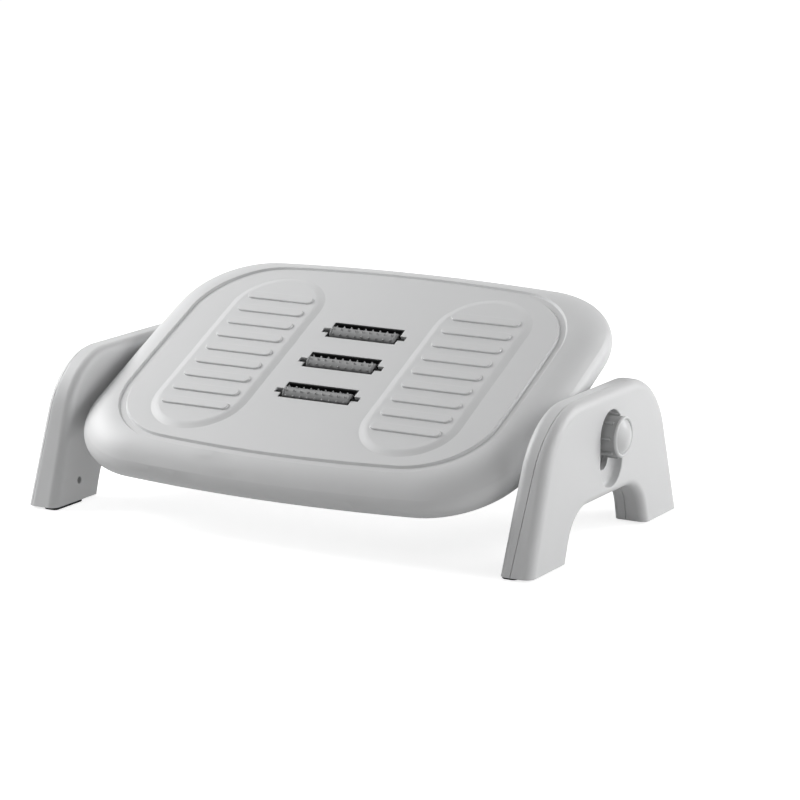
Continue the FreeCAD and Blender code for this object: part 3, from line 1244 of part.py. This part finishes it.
first_way = roller.newObject("PartDesign::LinearPattern", "studs_along")
first_way.Direction = (sleeve_sketch, ["H_Axis"])
bind(first_way, "Length", "8 * Sizes.stud_pitch")
first_way.Occurrences = 9
second_way = roller.newObject("PartDesign::PolarPattern", "studs_round")
second_way.Axis = (sleeve_sketch, ["H_Axis"])
second_way.Angle = 360
second_way.Occurrences = 8
stud_rows.Transformations = [first_way, second_way]
roller.Tip = stud_rows

axle = cylinder("axle", "X", "-Sizes.notch_half_span + 0.3", "0", "0", "Sizes.axle_radius",
                "2 * (Sizes.notch_half_span - 0.3)")
for number, place in enumerate(("front", "middle", "rear")):
    along = "Sizes.window_pitch * %d + Sizes.roller_row_shift" % (number - 1)
    name = place + "_roller"
    turned_roller = group(name + "_turned", [roller])
    turn = "Sizes.%s_roller_turn" % place
    turned_roller.Placement.Rotation = FreeCAD.Rotation(FreeCAD.Vector(1, 0, 0), value(turn))
    bind(turned_roller, ".Placement.Rotation.Angle", turn)
    finished[name] = to_plate(group(name, [turned_roller]), "0", along, "-Sizes.roller_drop")
    name = place + "_roller_axle"
    finished[name] = to_plate(group(name, [axle]), "0", along, "-Sizes.roller_drop")

# The base that closes the platform's underside: a panel with a rim and crossed ribs below it.
panel = new_body("panel")
panel_bottom = "-Sizes.cradle_bottom - Sizes.panel_thickness"
panel_sketch = new_sketch(panel, "panel_outline", "XY_Plane", panel_bottom)
plate_outline(panel_sketch, "Sizes.panel_inset")
pad(panel, panel_sketch, "Sizes.panel_thickness")
rib_limit = new_body("rib_limit")
limit_sketch = new_sketch(rib_limit, "rib_limit_outline", "XY_Plane",
                          panel_bottom + " - Sizes.panel_rib_depth")
plate_outline(limit_sketch, "Sizes.panel_inset + Sizes.panel_rib_width / 2")
pad(rib_limit, limit_sketch, "Sizes.panel_rib_depth + Sizes.panel_thickness / 2")
rim = new_body("rim")
rim_sketch = new_sketch(rim, "rim_outline", "XY_Plane", panel_bottom + " - Sizes.panel_rib_depth")
plate_outline(rim_sketch, "Sizes.panel_inset")
plate_outline(rim_sketch, "Sizes.panel_inset + Sizes.panel_rib_width")
pad(rim, rim_sketch, "Sizes.panel_rib_depth + Sizes.panel_thickness / 2")
rib_bars = []
for step in range(-3, 4):
    rib_bars.append(box("long_rib_%d" % (step + 4), "-Sizes.plate_half_width",
                        "Sizes.panel_rib_pitch * %d - Sizes.panel_rib_width / 2" % step,
                        panel_bottom + " - Sizes.panel_rib_depth", "2 * Sizes.plate_half_width",
                        "Sizes.panel_rib_width", "Sizes.panel_rib_depth + Sizes.panel_thickness / 2"))
for step in range(-5, 6):
    rib_bars.append(box("cross_rib_%d" % (step + 6),
                        "Sizes.panel_rib_pitch * %d - Sizes.panel_rib_width / 2" % step,
                        "-Sizes.plate_half_depth", panel_bottom + " - Sizes.panel_rib_depth",
                        "Sizes.panel_rib_width", "2 * Sizes.plate_half_depth",
                        "Sizes.panel_rib_depth + Sizes.panel_thickness / 2"))
rib_grid = common("rib_grid", fuse("rib_bars", rib_bars), rib_limit)

# The right pivot ear: a web that narrows to a round boss, with a seat for the bolt's head.
ear = new_body("ear")
ear_sketch = new_sketch(ear, "ear_web", "YZ_Plane", "Sizes.ear_inner_x")
middle = value("Sizes.pivot_back")
low = value("-Sizes.pivot_drop")
high = value(panel_bottom + " + Sizes.panel_thickness / 2")
reach = value("Sizes.ear_half_length")
boss = value("Sizes.ear_boss_radius")
distance = math.hypot(reach, high - low)
lean = math.atan2(high - low, reach) - math.asin(boss / distance)
normal = lean - math.pi / 2
touch_y = boss * math.cos(normal)
touch_z = boss * math.sin(normal)
line(ear_sketch, (middle - reach, high), (middle + reach, high))
line(ear_sketch, (middle + reach, high), (middle + touch_y, low + touch_z))
arc(ear_sketch, (middle, low), boss, math.pi - normal, 2 * math.pi + normal)
line(ear_sketch, (middle - touch_y, low + touch_z), (middle - reach, high))
rule(ear_sketch, "Coincident", 0, 2, 1, 1)
rule(ear_sketch, "Tangent", 1, 2, 2, 2)
rule(ear_sketch, "Tangent", 2, 1, 3, 1)
rule(ear_sketch, "Coincident", 3, 2, 0, 1)
rule(ear_sketch, "Horizontal", 0)
dimension(ear_sketch, "DistanceX", "front", "Sizes.pivot_back - Sizes.ear_half_length", 0, 1)
dimension(ear_sketch, "DistanceX", "back", "Sizes.pivot_back + Sizes.ear_half_length", 0, 2)
dimension(ear_sketch, "DistanceY", "top", panel_bottom + " + Sizes.panel_thickness / 2", 0, 1)
dimension(ear_sketch, "DistanceX", "middle", "Sizes.pivot_back", 2, 3)
dimension(ear_sketch, "DistanceY", "drop", "-Sizes.pivot_drop", 2, 3)
dimension(ear_sketch, "Radius", "boss_radius", "Sizes.ear_boss_radius", 2)
pad(ear, ear_sketch, "Sizes.ear_thickness")
ear_boss = cylinder("ear_boss", "X", "Sizes.ear_boss_inner_x", "Sizes.pivot_back", "-Sizes.pivot_drop",
                    "Sizes.ear_boss_radius", "Sizes.ear_boss_outer_x - Sizes.ear_boss_inner_x")
gussets = []
for sign in (-1, 1):
    gusset = new_body("gusset_%d" % (2 + sign))
    place = "Sizes.pivot_back + Sizes.gusset_spread * %d" % sign
    gusset_sketch = new_sketch(gusset, gusset.Name + "_outline", "XZ_Plane", "-(%s)" % place)
    root_x = value("Sizes.ear_inner_x + Sizes.ear_thickness / 2")
    top_z = value(panel_bottom + " + Sizes.panel_thickness / 2")
    tip_x = value("Sizes.ear_inner_x - Sizes.gusset_length")
    low_z = value(panel_bottom + " - Sizes.gusset_drop")
    step_z = value(panel_bottom + " - 2")
    polygon(gusset_sketch, [(root_x, top_z), (tip_x, top_z), (tip_x, step_z), (root_x - 4, low_z),
                            (root_x, low_z)])
    rule(gusset_sketch, "Horizontal", 0)
    rule(gusset_sketch, "Vertical", 1)
    rule(gusset_sketch, "Horizontal", 3)
    rule(gusset_sketch, "Vertical", 4)
    dimension(gusset_sketch, "DistanceX", "root", "Sizes.ear_inner_x + Sizes.ear_thickness / 2", 0, 1)
    dimension(gusset_sketch, "DistanceY", "top", panel_bottom + " + Sizes.panel_thickness / 2", 0, 1)
    dimension(gusset_sketch, "DistanceX", "tip", "Sizes.ear_inner_x - Sizes.gusset_length", 1, 2)
    dimension(gusset_sketch, "DistanceY", "step", panel_bottom + " - 2", 2, 1)
    dimension(gusset_sketch, "DistanceY", "low", panel_bottom + " - Sizes.gusset_drop", 4, 1)
    dimension(gusset_sketch, "DistanceX", "foot", "Sizes.ear_inner_x + Sizes.ear_thickness / 2 - 4", 3, 1)
    pad(gusset, gusset_sketch, "Sizes.gusset_thickness", True)
    gussets.append(gusset)
right_ear = fuse("right_ear", [ear, ear_boss] + gussets)
left_ear = mirrored("left_ear", right_ear, FreeCAD.Vector(1, 0, 0))

bolt_seat = doc.addObject("Part::Prism", "bolt_seat")
bolt_seat.Polygon = 6
bind(bolt_seat, "Circumradius", "(Sizes.bolt_head_flats / 2 + Sizes.bolt_clearance) / cos(30)")
bind(bolt_seat, "Height", "Sizes.ear_seat_x - Sizes.ear_boss_inner_x + 40 + Sizes.face_gap")
bolt_seat.Placement.Rotation = FreeCAD.Rotation(FreeCAD.Vector(0, 1, 0), 90)
bind(bolt_seat, ".Placement.Base.x", "Sizes.ear_boss_inner_x - 40")
bind(bolt_seat, ".Placement.Base.y", "Sizes.pivot_back")
bind(bolt_seat, ".Placement.Base.z", "-Sizes.pivot_drop")
bolt_bore = cylinder("bolt_bore", "X", "Sizes.ear_inner_x - 5", "Sizes.pivot_back", "-Sizes.pivot_drop",
                     "Sizes.bolt_radius + Sizes.bolt_clearance",
                     "Sizes.ear_boss_outer_x - Sizes.ear_inner_x + 15")
right_bolt_space = fuse("right_bolt_space", [bolt_seat, bolt_bore])
left_bolt_space = mirrored("left_bolt_space", right_bolt_space, FreeCAD.Vector(1, 0, 0))

screw_pads = []
screw_holes = []
platform_screws = []
for number, (kind, sign_x, sign_y) in enumerate(boss_places, start=1):
    x = "0"
    if sign_x:
        x = "Sizes.%s_boss_x * %d" % (kind, sign_x)
    y = "Sizes.%s_boss_y * %d" % (kind, sign_y)
    screw_pads.append(cylinder("screw_pad_%d" % number, "Z", x, y,
                               panel_bottom + " - Sizes.screw_head_height",
                               "Sizes.boss_radius + 1", "Sizes.screw_head_height + Sizes.panel_thickness / 2"))
    screw_holes.append(cylinder("screw_hole_%d" % number, "Z", x, y, panel_bottom + " - 5",
                                "Sizes.screw_radius + Sizes.screw_clearance", "20"))
    screw_holes.append(cylinder("screw_seat_%d" % number, "Z", x, y, panel_bottom + " - 20",
                                "Sizes.screw_head_radius + 3 * Sizes.screw_clearance", "20"))
    item = group("platform_screw_%d" % number, [screw])
    bind(item, ".Placement.Base.x", x)
    bind(item, ".Placement.Base.y", y)
    bind(item, ".Placement.Base.z", panel_bottom)
    platform_screws.append(item)
base_solid = fuse("base_solid", [panel, rim, rib_grid, right_ear, left_ear] + screw_pads)
base_space = fuse("base_space", [right_bolt_space, left_bolt_space] + screw_holes)
finished["platform_base"] = to_plate(cut("platform_base", base_solid, base_space))
finished["platform_screws"] = to_plate(group("platform_screws", platform_screws))

doc.recompute()
for item in doc.Objects:
    if "Invalid" in item.State or "Error" in item.State:
        raise RuntimeError("%s did not build" % item.Label)
os.makedirs("parts", exist_ok=True)
for name in sorted(finished):
    shape = finished[name].Shape
    if shape.isNull() or not shape.isValid():
        raise RuntimeError("%s is not a valid solid" % name)
    shape.exportStep("parts/%s.step" % name)
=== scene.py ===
import math

import bpy
from mathutils import Matrix, Vector

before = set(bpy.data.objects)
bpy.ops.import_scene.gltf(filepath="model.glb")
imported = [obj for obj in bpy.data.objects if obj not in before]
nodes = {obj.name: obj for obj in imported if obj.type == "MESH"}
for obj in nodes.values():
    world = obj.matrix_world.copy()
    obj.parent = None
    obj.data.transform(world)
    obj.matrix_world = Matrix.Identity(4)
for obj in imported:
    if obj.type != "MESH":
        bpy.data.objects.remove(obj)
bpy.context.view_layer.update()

# Camera, as fitted to the photograph: the point it looks at, its angles, its distance and its focal length.
# Lengths are in metres, apart from the sensor's, which is in millimetres.
IMAGE_SIZE = 800
FOCAL_PIXELS = 3191.6
CENTRE_PIXEL = (396.99, 402.96)
LOOK_AT = Vector((0.0435, 0.00682, 0.10274))
AZIMUTH = math.radians(28.32)
ELEVATION = math.radians(12.056)
ROLL = math.radians(0.779)
DISTANCE = 2.8551
SENSOR = 36.0
NEAR_CLIP = 0.01
FAR_CLIP = 100

# Studio: the room's even light, the tone of the far backdrop, the floor's own tone, and what the floor adds
# where it is seen directly. It adds less round the object, where it keeps the soft shadow, and is plain
# white further out.
ROOM_LIGHT = 0.08
BACKDROP_TONE = 0.80
FLOOR_SIZE = 60
FLOOR_TONE = 0.60
FLOOR_GLOW_NEAR = 0.78
FLOOR_GLOW_FAR = 1.0
SHADOW_RADIUS = 0.6
WHITE_RADIUS = 1.5

# Softboxes, all of one size and at one distance from their target: name, direction and strength.
LAMP_TARGET = Vector((0, 0, 0.1))
LAMP_DISTANCE = 1.8
LAMP_SIZE = 0.9
LAMPS = [
    ("left_softbox", (-0.85, -0.08, 0.52), 0.86),
    ("left_high_softbox", (-0.60, 0.10, 0.80), 0.15),
    ("front_softbox", (-0.10, -0.80, 0.55), 0.08),
    ("right_front_softbox", (0.60, -0.60, 0.40), 0.09),
    ("right_low_softbox", (0.93, 0.05, 0.24), 0.25),
    ("right_back_softbox", (0.70, 0.60, 0.40), 0.50),
]

# Moulded plastic: a slight cool tint, a drift of tone and gloss over the piece, a grain in the gloss and the
# surface, and edges painted lighter, part rubbed wear and part painted highlight. An edge is where the
# rounded normal turns from the true one.
COOL_TINT = 0.004
TONE_DRIFT = 0.01
GLOSS_DRIFT = 0.08
GLOSS_GRAIN = 0.06
GRAIN_STRENGTH = 0.35
GRAIN_DETAIL = 3
BROAD_SCALE = 9
BROAD_DETAIL = 4
EDGE_BREAKUP_SCALE = 60
EDGE_BREAKUP_DETAIL = 5
# How much lighter the edges are, as rubbed wear and as a painted highlight.
EDGE_WEAR_AND_HIGHLIGHT = 0.05
EDGE_SAMPLES = 6
EDGE_START = 0.995
EDGE_FULL = 0.85

# Metal: the fine grain in its gloss, and the colours.
METAL_SCALE = 900
METAL_DETAIL = 2
METAL_GRAIN = 0.08
STEEL_LEVEL = 0.75
BRASS_COLOUR = (0.72, 0.53, 0.24, 1)


def make_camera():
    back = Vector((math.sin(AZIMUTH) * math.cos(ELEVATION), -math.cos(AZIMUTH) * math.cos(ELEVATION),
                   math.sin(ELEVATION)))
    right = Vector((math.cos(AZIMUTH), math.sin(AZIMUTH), 0))
    up = back.cross(right)
    turned_right = right * math.cos(ROLL) + up * math.sin(ROLL)
    turned_up = up * math.cos(ROLL) - right * math.sin(ROLL)
    data = bpy.data.cameras.new("camera")
    data.sensor_width = SENSOR
    data.lens = SENSOR * FOCAL_PIXELS / IMAGE_SIZE
    data.shift_x = (IMAGE_SIZE / 2 - CENTRE_PIXEL[0]) / IMAGE_SIZE
    data.shift_y = (CENTRE_PIXEL[1] - IMAGE_SIZE / 2) / IMAGE_SIZE
    data.clip_start = NEAR_CLIP
    data.clip_end = FAR_CLIP
    camera = bpy.data.objects.new("camera", data)
    bpy.context.collection.objects.link(camera)
    camera.matrix_world = Matrix.Translation(LOOK_AT + back * DISTANCE) @ Matrix(
        (turned_right, turned_up, back)).transposed().to_4x4()
    bpy.context.scene.camera = camera


def node(tree, kind, **values):
    item = tree.nodes.new(kind)
    for name, value in values.items():
        setattr(item, name, value)
    return item


def noise(tree, place, scale, detail):
    item = node(tree, "ShaderNodeTexNoise")
    item.inputs["Scale"].default_value = scale
    item.inputs["Detail"].default_value = detail
    tree.links.new(place.outputs["Object"], item.inputs["Vector"])
    return item


def carry_over(tree, value, start=(0, 1), end=(0, 1), curve="LINEAR"):
    # Takes a value from its place in the range start to the same place in the range end.
    item = node(tree, "ShaderNodeMapRange", interpolation_type=curve)
    item.inputs["From Min"].default_value = start[0]
    item.inputs["From Max"].default_value = start[1]
    item.inputs["To Min"].default_value = end[0]
    item.inputs["To Max"].default_value = end[1]
    tree.links.new(value, item.inputs["Value"])
    return item.outputs["Result"]


def new_material(name):
    material = bpy.data.materials.new(name)
    material.use_nodes = True
    tree = material.node_tree
    shader = tree.nodes["Principled BSDF"]
    return material, tree, shader


def grey(level, tint=0.0):
    # A colour from its displayed level, 0 to 1, by the standard display curve. The tint makes it cooler.
    def linear(value):
        if value <= 0.04045:
            return value / 12.92
        return ((value + 0.055) / 1.055) ** 2.4
    return (linear(level), linear(level + tint / 2), linear(level + tint), 1)


def moulded_plastic(name, level, roughness, grain=0.00045, depth=0.00003, edge=0.0006, gloss=0.45):
    # Satin moulded plastic. The grain, its depth and the width of the rounded edges are in metres.
    material, tree, shader = new_material(name)
    place = node(tree, "ShaderNodeTexCoord")
    fine = noise(tree, place, 1 / grain, GRAIN_DETAIL)
    broad = noise(tree, place, BROAD_SCALE, BROAD_DETAIL)
    edge_breakup = noise(tree, place, EDGE_BREAKUP_SCALE, EDGE_BREAKUP_DETAIL)

    # Edge mask for wear and painted highlight: where the rounded normal turns from the true one, broken by a
    # coarse noise.
    bevel = node(tree, "ShaderNodeBevel", samples=EDGE_SAMPLES)
    bevel.inputs["Radius"].default_value = edge
    surface = node(tree, "ShaderNodeNewGeometry")
    turn = node(tree, "ShaderNodeVectorMath", operation="DOT_PRODUCT")
    tree.links.new(bevel.outputs["Normal"], turn.inputs[0])
    tree.links.new(surface.outputs["Normal"], turn.inputs[1])
    worn_and_highlit = node(tree, "ShaderNodeMath", operation="MULTIPLY")
    tree.links.new(carry_over(tree, turn.outputs["Value"], start=(EDGE_START, EDGE_FULL)), worn_and_highlit.inputs[0])
    tree.links.new(edge_breakup.outputs["Fac"], worn_and_highlit.inputs[1])

    # Colour: the drifting tone, and over it the lighter edges, part rubbed wear and part painted highlight.
    tone = node(tree, "ShaderNodeMix", data_type="RGBA")
    tone.inputs["A"].default_value = grey(level - TONE_DRIFT, COOL_TINT)
    tone.inputs["B"].default_value = grey(level + TONE_DRIFT, COOL_TINT)
    tree.links.new(broad.outputs["Fac"], tone.inputs["Factor"])
    colour = node(tree, "ShaderNodeMix", data_type="RGBA")
    colour.inputs["B"].default_value = grey(level + EDGE_WEAR_AND_HIGHLIGHT, COOL_TINT)
    tree.links.new(worn_and_highlit.outputs[0], colour.inputs["Factor"])
    tree.links.new(tone.outputs["Result"], colour.inputs["A"])
    tree.links.new(colour.outputs["Result"], shader.inputs["Base Color"])

    # Gloss: the grain and the drift added up.
    grained = carry_over(tree, fine.outputs["Fac"], end=(roughness - GLOSS_GRAIN, roughness + GLOSS_GRAIN))
    drift = node(tree, "ShaderNodeMath", operation="MULTIPLY_ADD")
    drift.inputs[1].default_value = GLOSS_DRIFT
    tree.links.new(broad.outputs["Fac"], drift.inputs[0])
    tree.links.new(grained, drift.inputs[2])
    tree.links.new(drift.outputs[0], shader.inputs["Roughness"])
    shader.inputs["Specular IOR Level"].default_value = gloss

    # Surface: the grain on top of the rounded edges.
    bump = node(tree, "ShaderNodeBump")
    bump.inputs["Strength"].default_value = GRAIN_STRENGTH
    bump.inputs["Distance"].default_value = depth
    tree.links.new(fine.outputs["Fac"], bump.inputs["Height"])
    tree.links.new(bevel.outputs["Normal"], bump.inputs["Normal"])
    tree.links.new(bump.outputs["Normal"], shader.inputs["Normal"])
    return material


def metal(name, colour, roughness):
    material, tree, shader = new_material(name)
    shader.inputs["Base Color"].default_value = colour
    shader.inputs["Metallic"].default_value = 1
    place = node(tree, "ShaderNodeTexCoord")
    fine = noise(tree, place, METAL_SCALE, METAL_DETAIL)
    grained = carry_over(tree, fine.outputs["Fac"], end=(roughness - METAL_GRAIN, roughness + METAL_GRAIN))
    tree.links.new(grained, shader.inputs["Roughness"])
    return material


def dress_nodes():
    finishes = {
        "platform": moulded_plastic("platform_plastic", level=0.83, roughness=0.42),
        "stand": moulded_plastic("stand_plastic", level=0.82, roughness=0.42),
        "roller": moulded_plastic("roller_plastic", level=0.57, roughness=0.3, edge=0.0002),
        # Near-black plastic. On the roller cradle it is also painted shade: it turns the wells round the
        # rollers black.
        "dark": moulded_plastic("dark_plastic", level=0.05, roughness=0.6, gloss=0.15),
        "knob": moulded_plastic("knob_plastic", level=0.64, roughness=0.42, edge=0.0003),
        "cap": moulded_plastic("cap_plastic", level=0.80, roughness=0.34, edge=0.0003),
        "rubber": moulded_plastic("foot_rubber", level=0.13, roughness=0.75, grain=0.0007, depth=0.00005,
                                  gloss=0.3),
        "steel": metal("screw_steel", grey(STEEL_LEVEL), roughness=0.35),
        "brass": metal("insert_brass", BRASS_COLOUR, roughness=0.3),
    }
    chosen = {
        "platform": ["platform_top_shell", "platform_base"],
        "stand": ["left_stand_inner_shell", "left_stand_outer_cover", "right_stand_outer_shell",
                  "right_stand_inner_cover"],
        "roller": ["front_roller", "middle_roller", "rear_roller"],
        # The cradle's black is partly painted shade in the roller wells.
        "dark": ["roller_cradle", "front_roller_axle", "middle_roller_axle", "rear_roller_axle",
                 "left_slide_block", "right_slide_block"],
        "knob": ["left_knob_body", "right_knob_body"],
        "cap": ["left_knob_cap", "right_knob_cap"],
        "rubber": ["left_front_rubber_foot", "left_back_rubber_foot", "right_front_rubber_foot",
                   "right_back_rubber_foot", "left_friction_washer", "right_friction_washer"],
        "steel": ["stand_screws", "platform_screws", "left_pivot_bolt", "right_pivot_bolt"],
        "brass": ["left_knob_insert", "right_knob_insert"],
    }
    for finish, names in chosen.items():
        for name in names:
            mesh = nodes[name].data
            mesh.materials.clear()
            mesh.materials.append(finishes[finish])


def seen_directly(tree):
    # 1 where the camera, a reflection or a clear piece shows the background, and 0 where it only lights.
    path = node(tree, "ShaderNodeLightPath")
    either = node(tree, "ShaderNodeMath", operation="MAXIMUM")
    any_of_three = node(tree, "ShaderNodeMath", operation="MAXIMUM")
    tree.links.new(path.outputs["Is Camera Ray"], either.inputs[0])
    tree.links.new(path.outputs["Is Glossy Ray"], either.inputs[1])
    tree.links.new(either.outputs[0], any_of_three.inputs[0])
    tree.links.new(path.outputs["Is Transmission Ray"], any_of_three.inputs[1])
    return any_of_three.outputs[0]


def make_floor():
    # The floor keeps the object's soft shadow. To the camera it is otherwise white.
    bpy.ops.mesh.primitive_plane_add(size=FLOOR_SIZE, location=(0, 0, 0))
    floor = bpy.context.object
    floor.name = "floor"
    material = bpy.data.materials.new("floor_white")
    material.use_nodes = True
    tree = material.node_tree
    tree.nodes.clear()
    diffuse = node(tree, "ShaderNodeBsdfDiffuse")
    diffuse.inputs["Color"].default_value = (FLOOR_TONE, FLOOR_TONE, FLOOR_TONE, 1)
    glow = node(tree, "ShaderNodeEmission")
    place = node(tree, "ShaderNodeTexCoord")
    reach = node(tree, "ShaderNodeVectorMath", operation="LENGTH")
    tree.links.new(place.outputs["Object"], reach.inputs[0])
    fade = carry_over(tree, reach.outputs["Value"], start=(SHADOW_RADIUS, WHITE_RADIUS),
                      end=(FLOOR_GLOW_NEAR, FLOOR_GLOW_FAR), curve="SMOOTHSTEP")
    amount = node(tree, "ShaderNodeMath", operation="MULTIPLY")
    tree.links.new(seen_directly(tree), amount.inputs[0])
    tree.links.new(fade, amount.inputs[1])
    tree.links.new(amount.outputs[0], glow.inputs["Strength"])
    both = node(tree, "ShaderNodeAddShader")
    output = node(tree, "ShaderNodeOutputMaterial")
    tree.links.new(diffuse.outputs[0], both.inputs[0])
    tree.links.new(glow.outputs[0], both.inputs[1])
    tree.links.new(both.outputs[0], output.inputs["Surface"])
    floor.data.materials.append(material)


def make_world():
    # An even light from all round, and the pale backdrop that shows above the far edge of the floor.
    world = bpy.data.worlds.new("studio")
    bpy.context.scene.world = world
    world.use_nodes = True
    tree = world.node_tree
    tree.nodes.clear()
    soft = node(tree, "ShaderNodeBackground")
    soft.inputs["Color"].default_value = (1, 1, 1, 1)
    soft.inputs["Strength"].default_value = ROOM_LIGHT
    backdrop = node(tree, "ShaderNodeBackground")
    backdrop.inputs["Color"].default_value = (BACKDROP_TONE, BACKDROP_TONE, BACKDROP_TONE, 1)
    mix = node(tree, "ShaderNodeMixShader")
    output = node(tree, "ShaderNodeOutputWorld")
    tree.links.new(seen_directly(tree), mix.inputs[0])
    tree.links.new(soft.outputs[0], mix.inputs[1])
    tree.links.new(backdrop.outputs[0], mix.inputs[2])
    tree.links.new(mix.outputs[0], output.inputs["Surface"])


def soft_lamp(name, direction, strength):
    # A softbox. A strength of 1 lights a surface that faces it to just its own colour.
    data = bpy.data.lights.new(name, "AREA")
    data.shape = "RECTANGLE"
    data.size = LAMP_SIZE
    data.size_y = LAMP_SIZE
    data.energy = strength * (math.pi * LAMP_DISTANCE) ** 2
    lamp = bpy.data.objects.new(name, data)
    way = Vector(direction).normalized()
    lamp.location = LAMP_TARGET + way * LAMP_DISTANCE
    lamp.rotation_euler = way.to_track_quat("Z", "Y").to_euler()
    bpy.context.collection.objects.link(lamp)
    lamp.visible_camera = False


bpy.context.scene.view_settings.view_transform = "Standard"
make_camera()
dress_nodes()
make_floor()
make_world()
for lamp_name, lamp_direction, lamp_strength in LAMPS:
    soft_lamp(lamp_name, lamp_direction, lamp_strength)
